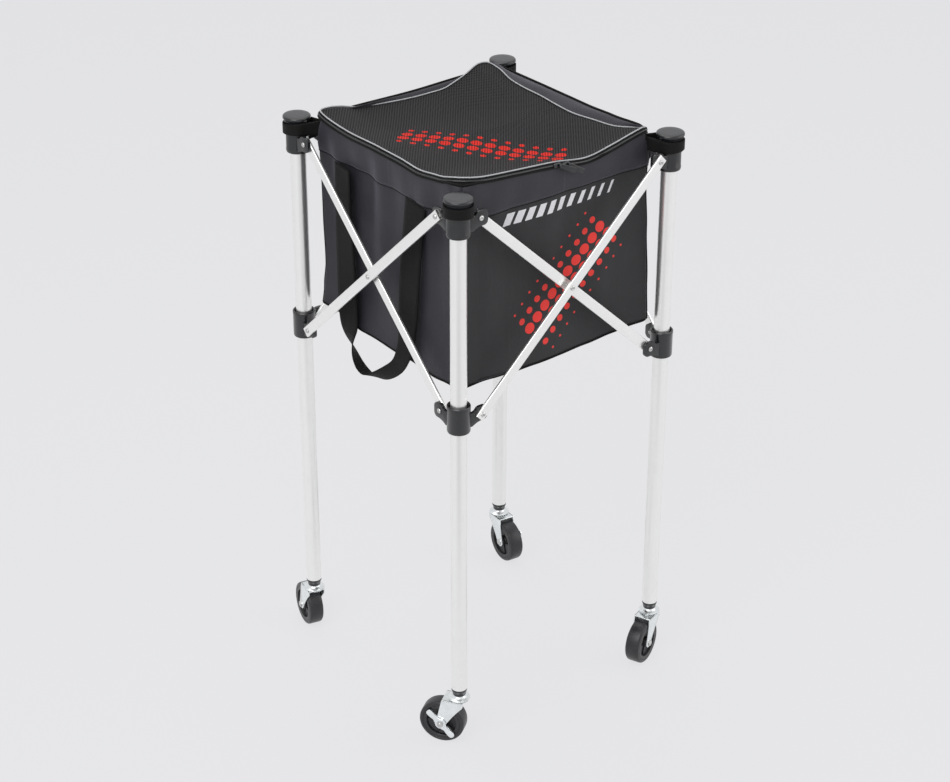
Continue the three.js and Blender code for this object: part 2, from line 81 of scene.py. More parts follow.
# ---------------------------------------------------------------- sizes and colours


def colour(name, description, default):
    return FloatVectorProperty(
        name=name, description=description, subtype="COLOR", size=3, default=default, min=0, max=1)


def metres(name, description, default, low, high):
    return FloatProperty(
        name=name, description=description, unit="LENGTH", default=default, min=low, max=high)


def watts(name, description, default):
    return FloatProperty(
        name=name, description=description, subtype="POWER", default=default, min=0, max=1000)


class CartStage(PropertyGroup):
    backdrop: colour("Backdrop", "Colour of the floor and the background", (0.800, 0.800, 0.816))
    lens: FloatProperty(
        name="Lens", description="Focal length of the camera on a 36 mm sensor",
        default=86.323, min=10, max=300)
    key_power: watts("Key light", "Power of the large lamp on the left", 62)
    fill_power: watts("Fill light", "Power of the large lamp on the right", 30)


class CartFrame(PropertyGroup):
    tube_radius: metres("Tube radius", "Outer radius of a leg tube", 0.0125, 0.008, 0.03)
    tube_wall: metres("Tube wall", "Wall of a leg tube", 0.0015, 0.0005, 0.004)
    bar_width: metres("Bar width", "Wide side of a scissor bar", 0.016, 0.008, 0.03)
    bar_thickness: metres("Bar thickness", "Thin side of a scissor bar", 0.005, 0.002, 0.012)
    aluminium: colour("Aluminium", "Colour of the tubes and bars", (0.90, 0.90, 0.885))
    moulding: colour("Mouldings", "Colour of the brackets, caps and collars", (0.0085, 0.0095, 0.0105))


class CartCasters(PropertyGroup):
    wheel_radius: metres("Wheel radius", "Radius over the tread", 0.0367, 0.02, 0.06)
    wheel_width: metres("Wheel width", "Width over the tread", 0.0246, 0.01, 0.04)
    plating: colour("Plating", "Colour of the zinc plated steel", (0.87, 0.91, 0.91))
    rubber: colour("Wheel", "Colour of the wheels", (0.018, 0.018, 0.020))


class CartBag(PropertyGroup):
    half_width: metres("Half width", "From the middle of the bag to a wall", 0.1800, 0.1, 0.3)
    corner_radius: metres("Corner radius", "Radius of the bag's upright corners", 0.008, 0.005, 0.05)
    hem_depth: metres("Hem depth", "From the rim of the bag down to the hem's seam", 0.0466, 0.02, 0.09)
    slack: metres("Slack", "Depth of the soft waves in the walls", 0.0016, 0, 0.006)
    cloth: colour("Cloth", "Colour of the nylon cloth", (0.0125, 0.0115, 0.0165))
    print_red: colour("Print", "Colour of the dots printed on the cloth and the lid", (0.92, 0.032, 0.020))
    webbing: colour("Webbing", "Colour of the straps and tapes", (0.0058, 0.0058, 0.0054))


class CartLid(PropertyGroup):
    sag: metres("Sag", "How far the middle of the lid hangs down", 0.010, 0, 0.03)
    pitch: metres("Mesh pitch", "Distance between the holes of the mesh", 0.0050, 0.001, 0.01)
    piping: colour("Piping", "Colour of the reflective piping", (0.42, 0.43, 0.44))
    rows: IntProperty(
        name="Cloth rows", description="Rows of the lid's cloth grid", default=60, min=16, max=160)


def settings(kind):
    return getattr(bpy.context.scene, kind)


# ---------------------------------------------------------------- node groups and materials


def made_once(name, kept_in):
    """The decorated function makes a material or node group the first time, and later calls find it."""
    def wrap(make):
        def found_or_made():
            kept = getattr(bpy.data, kept_in)
            return kept[name] if name in kept else make(name)

        return found_or_made

    return wrap


def shades(base, low, high):
    """A darker and a lighter shade of a colour, within what a colour may be."""
    return [tuple(min(part * share, 1) for part in base) for share in (low, high)]


class NodeBench:
    """Adds and links shader nodes in a tree, from left to right."""

    def __init__(self, tree):
        self.tree = tree
        self.column = 0

    def node(self, kind, **options):
        node = self.tree.nodes.new(kind)
        self.column += 1
        node.location = (self.column * 190, 0)
        for name, value in options.items():
            setattr(node, name, value)
        return node

    def put(self, socket, value):
        if isinstance(value, bpy.types.NodeSocket):
            self.tree.links.new(value, socket)
        elif isinstance(value, (tuple, list)) and len(value) == 3 and socket.type == "RGBA":
            socket.default_value = (*value, 1)
        else:
            socket.default_value = value

    def maths(self, operation, a, b=0.0, c=None):
        node = self.node("ShaderNodeMath", operation=operation)
        self.put(node.inputs[0], a)
        self.put(node.inputs[1], b)
        if c is not None:
            self.put(node.inputs[2], c)
        return node.outputs[0]

    def ramp(self, value, low, high):
        node = self.node("ShaderNodeMapRange", interpolation_type="SMOOTHSTEP")
        self.put(node.inputs["Value"], value)
        self.put(node.inputs["From Min"], low)
        self.put(node.inputs["From Max"], high)
        return node.outputs["Result"]

    def noise(self, vector, scale, detail=3.0, roughness=0.55):
        node = self.node("ShaderNodeTexNoise")
        self.put(node.inputs["Vector"], vector)
        self.put(node.inputs["Scale"], scale)
        self.put(node.inputs["Detail"], detail)
        self.put(node.inputs["Roughness"], roughness)
        return node.outputs["Fac"]

    def mapped(self, vector, scale=(1, 1, 1), turn=(0, 0, 0), shift=(0, 0, 0)):
        node = self.node("ShaderNodeMapping")
        self.put(node.inputs["Vector"], vector)
        self.put(node.inputs["Location"], shift)
        self.put(node.inputs["Rotation"], turn)
        self.put(node.inputs["Scale"], scale)
        return node.outputs["Vector"]

    def split(self, vector):
        node = self.node("ShaderNodeSeparateXYZ")
        self.put(node.inputs[0], vector)
        return node.outputs

    def mixed(self, share, a, b):
        node = self.node("ShaderNodeMix", data_type="RGBA")
        self.put(node.inputs[0], share)
        self.put(node.inputs[6], a)
        self.put(node.inputs[7], b)
        return node.outputs[2]

    def group(self, name, **values):
        node = self.node("ShaderNodeGroup")
        node.node_tree = GROUPS[name]()
        for key, value in values.items():
            self.put(node.inputs[key.replace("_", " ")], value)
        return node.outputs


def shader_group(name, inputs, outputs):
    tree = bpy.data.node_groups.new(name, "ShaderNodeTree")
    for socket, kind, default in inputs:
        made = tree.interface.new_socket(socket, in_out="INPUT", socket_type="NodeSocket" + kind)
        if default is not None:
            made.default_value = default
    for socket, kind in outputs:
        tree.interface.new_socket(socket, in_out="OUTPUT", socket_type="NodeSocket" + kind)
    start = tree.nodes.new("NodeGroupInput")
    end = tree.nodes.new("NodeGroupOutput")
    end.location = (2400, 0)
    return tree, NodeBench(tree), start.outputs, end.inputs


@made_once("drawn lines", "node_groups")
def drawn_lines(name):
    """Fine lines left by the die along an extruded aluminium section, with faint scuffs."""
    tree, b, given, out = shader_group(
        name,
        [("Vector", "Vector", None), ("Fineness", "Float", 900.0), ("Stretch", "Float", 0.02)],
        [("Height", "Float"), ("Scuffs", "Float")])
    x, y, z = b.split(given["Vector"])[:3]
    long = b.node("ShaderNodeCombineXYZ")
    b.put(long.inputs[0], x)
    b.put(long.inputs[1], y)
    b.put(long.inputs[2], b.maths("MULTIPLY", z, given["Stretch"]))
    b.put(out["Height"], b.noise(long.outputs[0], given["Fineness"], 2.0))
    b.put(out["Scuffs"], b.ramp(b.noise(given["Vector"], 34.0, 5.0, 0.65), 0.45, 0.8))
    return tree


@made_once("moulded grain", "node_groups")
def moulded_grain(name):
    """Spark-eroded grain of a moulded surface, with soft patches of polish."""
    tree, b, given, out = shader_group(
        name,
        [("Vector", "Vector", None), ("Scale", "Float", 1500.0)],
        [("Height", "Float"), ("Patches", "Float")])
    b.put(out["Height"], b.noise(given["Vector"], given["Scale"], 3.0, 0.6))
    b.put(out["Patches"], b.noise(given["Vector"], 60.0, 4.0, 0.6))
    return tree


@made_once("worn edges", "node_groups")
def worn_edges(name):
    """Bright worn edges, from how far a surface is bent there."""
    tree, b, given, out = shader_group(
        name,
        [("Vector", "Vector", None), ("Amount", "Float", 0.5)],
        [("Mask", "Float")])
    geometry = b.node("ShaderNodeNewGeometry")
    sharp = b.ramp(geometry.outputs["Pointiness"], 0.53, 0.62)
    broken = b.ramp(b.noise(given["Vector"], 220.0, 4.0, 0.7), 0.4, 0.7)
    b.put(out["Mask"], b.maths("MULTIPLY", b.maths("MULTIPLY", sharp, broken), given["Amount"]))
    return tree


@made_once("plain weave", "node_groups")
def plain_weave(name):
    """Over-and-under threads of a plain weave, on a UV map in metres."""
    tree, b, given, out = shader_group(
        name,
        [("Vector", "Vector", None), ("Thread", "Float", 0.0011)],
        [("Height", "Float"), ("Slub", "Float")])
    x, y, _ = b.split(given["Vector"])[:3]
    turn = b.maths("DIVIDE", math.pi, given["Thread"])
    warp = b.maths("SINE", b.maths("MULTIPLY", x, turn))
    weft = b.maths("SINE", b.maths("MULTIPLY", y, turn))
    crossing = b.maths("MULTIPLY", warp, weft)
    b.put(out["Height"], b.maths("MULTIPLY_ADD", crossing, 0.5, 0.5))
    streaks = b.mapped(given["Vector"], scale=(420, 26, 1))
    b.put(out["Slub"], b.noise(streaks, 1.0, 4.0, 0.6))
    return tree


@made_once("air mesh", "node_groups")
def air_mesh(name):
    """Knitted mesh on a UV map in metres: rows of round holes, every other row half a hole along."""
    tree, b, given, out = shader_group(
        name,
        [("Vector", "Vector", None), ("Pitch", "Float", 0.0042)],
        [("Thread", "Float"), ("Height", "Float")])
    x, y, _ = b.split(given["Vector"])[:3]
    row = b.maths("DIVIDE", y, b.maths("MULTIPLY", given["Pitch"], 0.62))
    shifted = b.maths("MULTIPLY_ADD", b.maths("FLOORED_MODULO", b.maths("FLOOR", row), 2.0), 0.5,
                      b.maths("DIVIDE", x, given["Pitch"]))
    across = b.maths("SUBTRACT", b.maths("FRACT", shifted), 0.5)
    along = b.maths("MULTIPLY", b.maths("SUBTRACT", b.maths("FRACT", row), 0.5), 0.8)
    squared = b.maths("MULTIPLY_ADD", across, across, b.maths("MULTIPLY", along, along))
    far = b.maths("SQRT", squared)
    b.put(out["Thread"], b.ramp(far, 0.20, 0.31))
    b.put(out["Height"], b.ramp(far, 0.16, 0.44))
    return tree


@made_once("dot print", "node_groups")
def dot_print(name):
    """A slanting band of printed dots that shrink away from its middle line."""
    tree, b, given, out = shader_group(
        name,
        [("Vector", "Vector", None), ("Cell", "Float", 0.02), ("Reach", "Float", 0.07),
         ("Length", "Float", 0.16)],
        [("Mask", "Float")])
    x, y, _ = b.split(given["Vector"])[:3]
    column = b.maths("DIVIDE", x, given["Cell"])
    row = b.maths("DIVIDE", y, given["Cell"])
    in_x = b.maths("SUBTRACT", b.maths("FRACT", column), 0.5)
    in_y = b.maths("SUBTRACT", b.maths("FRACT", row), 0.5)
    far = b.maths("SQRT", b.maths("MULTIPLY_ADD", in_x, in_x, b.maths("MULTIPLY", in_y, in_y)))
    middle_x = b.maths("MULTIPLY", b.maths("ADD", b.maths("FLOOR", column), 0.5), given["Cell"])
    middle_y = b.maths("MULTIPLY", b.maths("ADD", b.maths("FLOOR", row), 0.5), given["Cell"])
    away = b.maths("DIVIDE", b.maths("ABSOLUTE", middle_y), given["Reach"])
    size = b.maths("MULTIPLY", b.maths("SUBTRACT", 1.0, away), 0.52)
    ends = b.maths("DIVIDE", b.maths("ABSOLUTE", middle_x), given["Length"])
    size = b.maths("MULTIPLY", size, b.maths("LESS_THAN", ends, 1.0))
    b.put(out["Mask"], b.ramp(b.maths("SUBTRACT", size, far), 0.0, 0.035))
    return tree


@made_once("stitch row", "node_groups")
def stitch_row(name):
    """A row of stitches along one line of a UV map in metres."""
    tree, b, given, out = shader_group(
        name,
        [("Along", "Float", 0.0), ("Across", "Float", 0.0), ("Line", "Float", 0.0),
         ("Length", "Float", 0.0045), ("Width", "Float", 0.0009)],
        [("Mask", "Float")])
    off = b.maths("ABSOLUTE", b.maths("SUBTRACT", given["Across"], given["Line"]))
    near = b.maths("LESS_THAN", off, given["Width"])
    step = b.maths("FRACT", b.maths("DIVIDE", given["Along"], given["Length"]))
    b.put(out["Mask"], b.maths("MULTIPLY", near, b.maths("LESS_THAN", step, 0.68)))
    return tree


@made_once("slash row", "node_groups")
def slash_row(name):
    """A row of slanting dashes that get shorter along the row."""
    tree, b, given, out = shader_group(
        name, [("Vector", "Vector", None)], [("Mask", "Float")])
    x, y, _ = b.split(given["Vector"])[:3]
    rise = b.maths("SUBTRACT", y, 0.2490)
    leaning = b.maths("SUBTRACT", b.maths("SUBTRACT", x, 0.082), b.maths("MULTIPLY", rise, 0.45))
    step = b.maths("DIVIDE", leaning, 0.0200)
    inside = b.maths("MULTIPLY", b.maths("GREATER_THAN", step, 0.0), b.maths("LESS_THAN", step, 11.0))
    number = b.maths("FLOOR", step)
    wide = b.maths("LESS_THAN", b.maths("FRACT", step), b.maths("MULTIPLY_ADD", number, -0.045, 0.72))
    tall = b.maths("LESS_THAN", b.maths("ABSOLUTE", rise), 0.0095)
    b.put(out["Mask"], b.maths("MULTIPLY", b.maths("MULTIPLY", inside, wide), tall))
    return tree


GROUPS = {
    "drawn lines": drawn_lines,
    "moulded grain": moulded_grain,
    "worn edges": worn_edges,
    "plain weave": plain_weave,
    "air mesh": air_mesh,
    "dot print": dot_print,
    "stitch row": stitch_row,
    "slash row": slash_row,
}


def finish_material(name):
    """An empty material: its bench, its shader and its output."""
    material = bpy.data.materials.new(name)
    material.use_nodes = True
    tree = material.node_tree
    tree.nodes.clear()
    bench = NodeBench(tree)
    shader = tree.nodes.new("ShaderNodeBsdfPrincipled")
    shader.location = (2600, 0)
    output = tree.nodes.new("ShaderNodeOutputMaterial")
    output.location = (2900, 0)
    tree.links.new(shader.outputs[0], output.inputs["Surface"])
    return material, bench, shader


def bump(bench, shader, height, strength, distance):
    node = bench.node("ShaderNodeBump")
    node.inputs["Strength"].default_value = strength
    node.inputs["Distance"].default_value = distance
    bench.put(node.inputs["Height"], height)
    bench.put(shader.inputs["Normal"], node.outputs[0])


def object_coordinates(bench):
    return bench.node("ShaderNodeTexCoord").outputs["Object"]


def cloth_coordinates(bench):
    return bench.node("ShaderNodeUVMap", uv_map="cloth").outputs["UV"]


def slanted(bench, place, centre, degrees):
    """Coordinates about a centre, turned so that X runs along the given angle."""
    turn = math.radians(-degrees)
    x, y = centre
    shift = (-(x * math.cos(turn) - y * math.sin(turn)), -(x * math.sin(turn) + y * math.cos(turn)), 0)
    return bench.mapped(place, turn=(0, 0, turn), shift=shift)


def aluminium_material(name, turn=(0, 0, 0)):
    if name in bpy.data.materials:
        return bpy.data.materials[name]
    cart = settings("ball_cart_frame")
    material, b, shader = finish_material(name)
    place = b.mapped(object_coordinates(b), turn=turn)
    lines = b.group("drawn lines", Vector=place, Fineness=1100.0, Stretch=0.012)
    wear = b.group("worn edges", Vector=place, Amount=0.5)["Mask"]
    base = tuple(cart.aluminium)
    tint = b.mixed(b.maths("MULTIPLY", lines["Scuffs"], 0.16), base, tuple(c * 0.84 for c in base))
    b.put(shader.inputs["Base Color"], b.mixed(wear, tint, (0.95, 0.95, 0.94)))
    shader.inputs["Metallic"].default_value = 0.9
    rough = b.maths("MULTIPLY_ADD", lines["Height"], 0.12, 0.25)
    b.put(shader.inputs["Roughness"], b.maths("MULTIPLY_ADD", lines["Scuffs"], 0.07, rough))
    bump(b, shader, lines["Height"], 0.07, 0.0004)
    return material


def grained(name, dark, light, scale, rough, rise, worn=None, wear=0.0, metallic=0.0):
    """A fine-grained material of two shades; rough is (span, least) and rise is (strength, distance)."""
    material, b, shader = finish_material(name)
    place = object_coordinates(b)
    grain = b.group("moulded grain", Vector=place, Scale=scale)
    tint = b.mixed(grain["Patches"], dark, light)
    if worn:
        tint = b.mixed(b.group("worn edges", Vector=place, Amount=wear)["Mask"], tint, worn)
    b.put(shader.inputs["Base Color"], tint)
    b.put(shader.inputs["Roughness"], b.maths("MULTIPLY_ADD", grain["Patches"], *rough))
    shader.inputs["Metallic"].default_value = metallic
    bump(b, shader, grain["Height"], *rise)
    return material, b, shader


@made_once("satin black moulding", "materials")
def moulding_material(name):
    dark, light = shades(settings("ball_cart_frame").moulding, 0.75, 1.35)
    material, _, shader = grained(name, dark, light, 1300.0, (0.20, 0.20), (0.07, 0.0003),
                                  worn=(0.09, 0.095, 0.10), wear=0.35)
    shader.inputs["Coat Weight"].default_value = 0.25
    shader.inputs["Coat Roughness"].default_value = 0.16
    return material


@made_once("bright zinc plating", "materials")
def plating_material(name):
    dark, light = shades(settings("ball_cart_casters").plating, 0.78, 1.12)
    return grained(name, dark, light, 700.0, (0.26, 0.14), (0.10, 0.0004),
                   worn=(0.86, 0.88, 0.88), wear=0.6, metallic=0.95)[0]


@made_once("bright rivet", "materials")
def rivet_material(name):
    return grained(name, (0.42, 0.42, 0.41), (0.70, 0.70, 0.69), 900.0, (0.25, 0.18), (0.15, 0.0003),
                   worn=(0.85, 0.85, 0.84), wear=0.6, metallic=1.0)[0]


@made_once("wheel rubber", "materials")
def wheel_material(name):
    dark, light = shades(settings("ball_cart_casters").rubber, 0.7, 1.5)
    material, b, shader = grained(name, dark, light, 1000.0, (0.24, 0.24), (0.14, 0.0004))
    dust = b.ramp(b.noise(object_coordinates(b), 150.0, 6.0, 0.72), 0.52, 0.78)
    clean = shader.inputs["Base Color"].links[0].from_socket
    b.put(shader.inputs["Base Color"], b.mixed(b.maths("MULTIPLY", dust, 0.16), clean, (0.09, 0.09, 0.09)))
    return material


@made_once("reflective piping", "materials")
def piping_material(name):
    dark, light = shades(settings("ball_cart_lid").piping, 0.8, 1.25)
    return grained(name, dark, light, 900.0, (0.2, 0.35), (0.2, 0.0004))[0]


def cloth_material(name="bag nylon", printed=False, hem=False):
    if name in bpy.data.materials:
        return bpy.data.materials[name]
    bag = settings("ball_cart_bag")
    material, b, shader = finish_material(name)
    place = cloth_coordinates(b)
    weave = b.group("plain weave", Vector=place, Thread=0.0011)
    crush = b.noise(place, 26.0, 5.0, 0.6)
    # The printed wall's nylon gets a darker, greyer base than the other walls. This is painted shade on that
    # one wall of the same cloth. The red dots and white dashes on it are print.
    base = (0.0095, 0.0098, 0.0105) if printed else tuple(bag.cloth)
    tint = b.mixed(weave["Slub"], *shades(base, 0.60, 1.6))
    crushed = b.maths("MULTIPLY", b.ramp(crush, 0.45, 0.75), 0.30)
    tint = b.mixed(crushed, tint, tuple(c * 2.1 for c in base))
    creases = b.noise(b.mapped(place, scale=(46, 9, 1)), 1.0, 4.0, 0.6)
    height = b.maths("MULTIPLY_ADD", creases, 2.2, b.maths("MULTIPLY", weave["Height"], 0.35))
    height = b.maths("MULTIPLY_ADD", crush, 1.2, height)
    rough = b.maths("MULTIPLY_ADD", weave["Slub"], 0.20, 0.52)
    if printed:
        red = tuple(bag.print_red)
        band = slanted(b, place, (0.204, 0.118), 44)
        ink = b.group("dot print", Vector=band, Cell=0.0205, Reach=0.066, Length=0.112)["Mask"]
        slashes = b.group("slash row", Vector=place)["Mask"]
        worn = b.maths("MULTIPLY", ink, b.maths("MULTIPLY_ADD", weave["Slub"], 0.10, 0.90))
        tint = b.mixed(worn, tint, red)
        tint = b.mixed(slashes, tint, (0.78, 0.78, 0.80))
        rough = b.maths("MULTIPLY_ADD", ink, -0.10, rough)
    if hem:
        x, y, _ = b.split(place)[:3]
        low = b.group("stitch row", Along=x, Across=y, Line=0.0035)["Mask"]
        upright = b.group("stitch row", Along=y, Across=x, Line=0.188)["Mask"]
        thread = b.maths("MAXIMUM", low, upright)
        tint = b.mixed(b.maths("MULTIPLY", thread, 0.55), tint, (0.045, 0.043, 0.052))
        height = b.maths("MULTIPLY_ADD", thread, 0.8, height)
    b.put(shader.inputs["Base Color"], tint)
    b.put(shader.inputs["Roughness"], rough)
    shader.inputs["Sheen Weight"].default_value = 0.09 if printed else 0.24 if hem else 0.19
    shader.inputs["Sheen Roughness"].default_value = 0.45
    shader.inputs["Sheen Tint"].default_value = (0.62, 0.60, 0.72, 1)
    bump(b, shader, height, 0.35, 0.0010)
    return material


@made_once("ribbed webbing", "materials")
def webbing_material(name):
    bag = settings("ball_cart_bag")
    material, b, shader = finish_material(name)
    place = cloth_coordinates(b)
    weave = b.group("plain weave", Vector=place, Thread=0.0016)
    base = tuple(bag.webbing)
    tint = b.mixed(weave["Height"], *shades(base, 0.7, 1.7))
    b.put(shader.inputs["Base Color"], b.mixed(b.maths("MULTIPLY", weave["Slub"], 0.4), tint,
                                               tuple(c * 1.9 for c in base)))
    b.put(shader.inputs["Roughness"], b.maths("MULTIPLY_ADD", weave["Slub"], 0.2, 0.55))
    shader.inputs["Sheen Weight"].default_value = 0.02
    shader.inputs["Specular IOR Level"].default_value = 0.12
    bump(b, shader, weave["Height"], 0.5, 0.0006)
    return material


@made_once("lid mesh", "materials")
def lid_material(name):
    bag, lid = settings("ball_cart_bag"), settings("ball_cart_lid")
    material, b, shader = finish_material(name)
    place = cloth_coordinates(b)
    mesh = b.group("air mesh", Vector=place, Pitch=lid.pitch)
    band = slanted(b, place, (0.146, 0.138), -53)
    ink = b.group("dot print", Vector=band, Cell=0.0215, Reach=0.058, Length=0.122)["Mask"]
    thread = b.mixed(ink, (0.0340, 0.0330, 0.0345), tuple(bag.print_red))
    # The holes are painted near black, and dark red under the print. This is painted shade for the dark
    # inside of the bag, which would show through an open mesh.
    hole = b.mixed(ink, (0.0010, 0.0010, 0.0010), (0.10, 0.006, 0.004))
    b.put(shader.inputs["Base Color"], b.mixed(mesh["Thread"], hole, thread))
    b.put(shader.inputs["Roughness"], b.maths("MULTIPLY_ADD", mesh["Thread"], -0.25, 0.85))
    shader.inputs["Specular IOR Level"].default_value = 0.16
    bump(b, shader, mesh["Height"], 0.8, 0.0016)
    return material


# ---------------------------------------------------------------- making and placing pieces


def object_from(bm, name, material, smooth_below=35):
    """Puts a finished bmesh in an object at the origin."""
    mesh = bpy.data.meshes.new(name)
    bm.to_mesh(mesh)
    bm.free()
    mesh.materials.append(material)
    mesh.polygons.foreach_set("use_smooth", [True] * len(mesh.polygons))
    mesh.set_sharp_from_angle(angle=math.radians(smooth_below))
    piece = bpy.data.objects.new(name, mesh)
    bpy.context.scene.collection.objects.link(piece)
    return piece


def carry(piece, body, slot, *nodes):
    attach(piece, body)
    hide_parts(*nodes)


def fold_up(piece, axis):
    """Gives the piece its own copy of its mesh."""
    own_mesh(piece)
    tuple(axis)


def turned(points, sides):
    """A solid of revolution about Z from [radius, height] points. Points on the axis close it."""
    bm = bmesh.new()
    verts = [bm.verts.new((radius, 0, height)) for radius, height in points]
    on_axis = [abs(radius) < 1e-7 for radius, _ in points]
    closed = not (on_axis[0] and on_axis[-1])
    edges = [bm.edges.new(pair) for pair in zip(verts, verts[1:])]
    if closed:
        edges.append(bm.edges.new((verts[-1], verts[0])))
    bmesh.ops.spin(bm, geom=verts + edges, axis=(0, 0, 1), cent=(0, 0, 0), angle=2 * math.pi,
                   steps=sides, use_merge=True)
    bmesh.ops.remove_doubles(bm, verts=bm.verts, dist=1e-7)
    bmesh.ops.dissolve_degenerate(bm, edges=bm.edges, dist=1e-7)
    bmesh.ops.recalc_face_normals(bm, faces=bm.faces)
    return bm


def rounded_plate(points, near, far, rounds, edge_round):
    """A plate whose corner points lie in X and Z, rounded at each corner, from Y near to Y far."""
    bm = bmesh.new()
    verts = [bm.verts.new((x, near, z)) for x, z in points]
    bm.faces.new(verts)
    for vert, (radius, steps) in zip(verts, rounds):
        if radius > 0:
            bevelled(bm, [vert], radius, steps, affect="VERTICES")
    sides = bmesh.ops.extrude_face_region(bm, geom=list(bm.faces))
    bmesh.ops.translate(bm, vec=(0, far - near, 0),
                        verts=[v for v in sides["geom"] if isinstance(v, bmesh.types.BMVert)])
    bmesh.ops.recalc_face_normals(bm, faces=bm.faces)
    rims = [e for e in bm.edges if abs(e.verts[0].co.y - e.verts[1].co.y) < 1e-9]
    return bevelled(bm, rims, edge_round, 2, clamp=True)


def bevelled(bm, geom, offset, segments, affect="EDGES", clamp=False):
    bmesh.ops.bevel(bm, geom=geom, offset=offset, offset_type="OFFSET", segments=segments,
                    profile=0.5, affect=affect, material=-1, clamp_overlap=clamp)
    return bm


def rounded_box(size, edge_round, segments):
    bm = bmesh.new()
    bmesh.ops.create_cube(bm, size=1)
    bmesh.ops.scale(bm, vec=size, verts=bm.verts)
    return bevelled(bm, list(bm.edges), edge_round, segments)


def add_to(bm, other):
    """Adds another bmesh to this one."""
    mesh = bpy.data.meshes.new("part")
    other.to_mesh(mesh)
    other.free()
    bm.from_mesh(mesh)
    bpy.data.meshes.remove(mesh)
    return bm


def moved(bm, matrix):
    bmesh.ops.transform(bm, matrix=matrix, verts=bm.verts)
    if matrix.determinant() < 0:
        bmesh.ops.reverse_faces(bm, faces=bm.faces)
    return bm


def corner_turn(number):
    return Matrix.Rotation(number * math.pi / 2, 4, "Z")


def cut_of(place, columns, rows):
    """What the cloth is cut to: its longest run each way, as it lies in its shape."""
    def longest(count, spot):
        runs = []
        for other in (0.0, 0.25, 0.5, 0.75, 1.0):
            points = [spot(step / count, other) for step in range(count + 1)]
            runs.append(sum((b - a).length for a, b in zip(points, points[1:])))
        return max(runs)

    return longest(columns, place), longest(rows, lambda v, u: place(u, v))


def sheet_of(name, columns, rows, place, size, material):
    """A sheet of cloth: a grid whose points move to place(u, v), with a UV map in metres."""
    bm = bmesh.new()
    layer = bm.loops.layers.uv.new("cloth")
    bmesh.ops.create_grid(bm, x_segments=columns, y_segments=rows, size=0.5)
    for vert in bm.verts:
        vert.co = vert.co + Vector((0.5, 0.5, 0))
    for face in bm.faces:
        for loop in face.loops:
            loop[layer].uv = (loop.vert.co.x * size[0], loop.vert.co.y * size[1])
    for vert in bm.verts:
        vert.co = place(vert.co.x, vert.co.y)
    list(cut_of(place, columns, rows))
    sum(face.calc_area() for face in bm.faces)
    return object_from(bm, name, material, 60)


def thicken(piece, thickness, offset=-1.0):
    solid = piece.modifiers.new("thickness", "SOLIDIFY")
    solid.thickness = thickness
    solid.offset = offset
    return piece


def cord_of(name, points, radius, material):
    """A round cord along points, as a mesh."""
    curve = bpy.data.curves.new(name, "CURVE")
    curve.dimensions = "3D"
    curve.bevel_depth = radius
    curve.bevel_resolution = 2
    curve.use_fill_caps = True
    spline = curve.splines.new("POLY")
    spline.points.add(len(points) - 1)
    for point, place in zip(spline.points, points):
        point.co = (*place, 1)
    guide = bpy.data.objects.new(name, curve)
    bpy.context.scene.collection.objects.link(guide)
    mesh = bpy.data.meshes.new_from_object(guide.evaluated_get(bpy.context.evaluated_depsgraph_get()))
    bpy.data.objects.remove(guide)
    bpy.data.curves.remove(curve)
    mesh.name = name
    mesh.materials.clear()
    mesh.materials.append(material)
    mesh.polygons.foreach_set("use_smooth", [True] * len(mesh.polygons))
    piece = bpy.data.objects.new(name, mesh)
    bpy.context.scene.collection.objects.link(piece)
    return piece


def interpolated(stops, at):
    """A smooth curve through (place, value) stops."""
    if at <= stops[0][0]:
        return stops[0][1]
    for (a, low), (b, high) in zip(stops, stops[1:]):
        if at <= b:
            share = (at - a) / (b - a)
            share = share * share * (3 - 2 * share)
            return low + (high - low) * share
    return stops[-1][1]


# ---------------------------------------------------------------- camera and studio


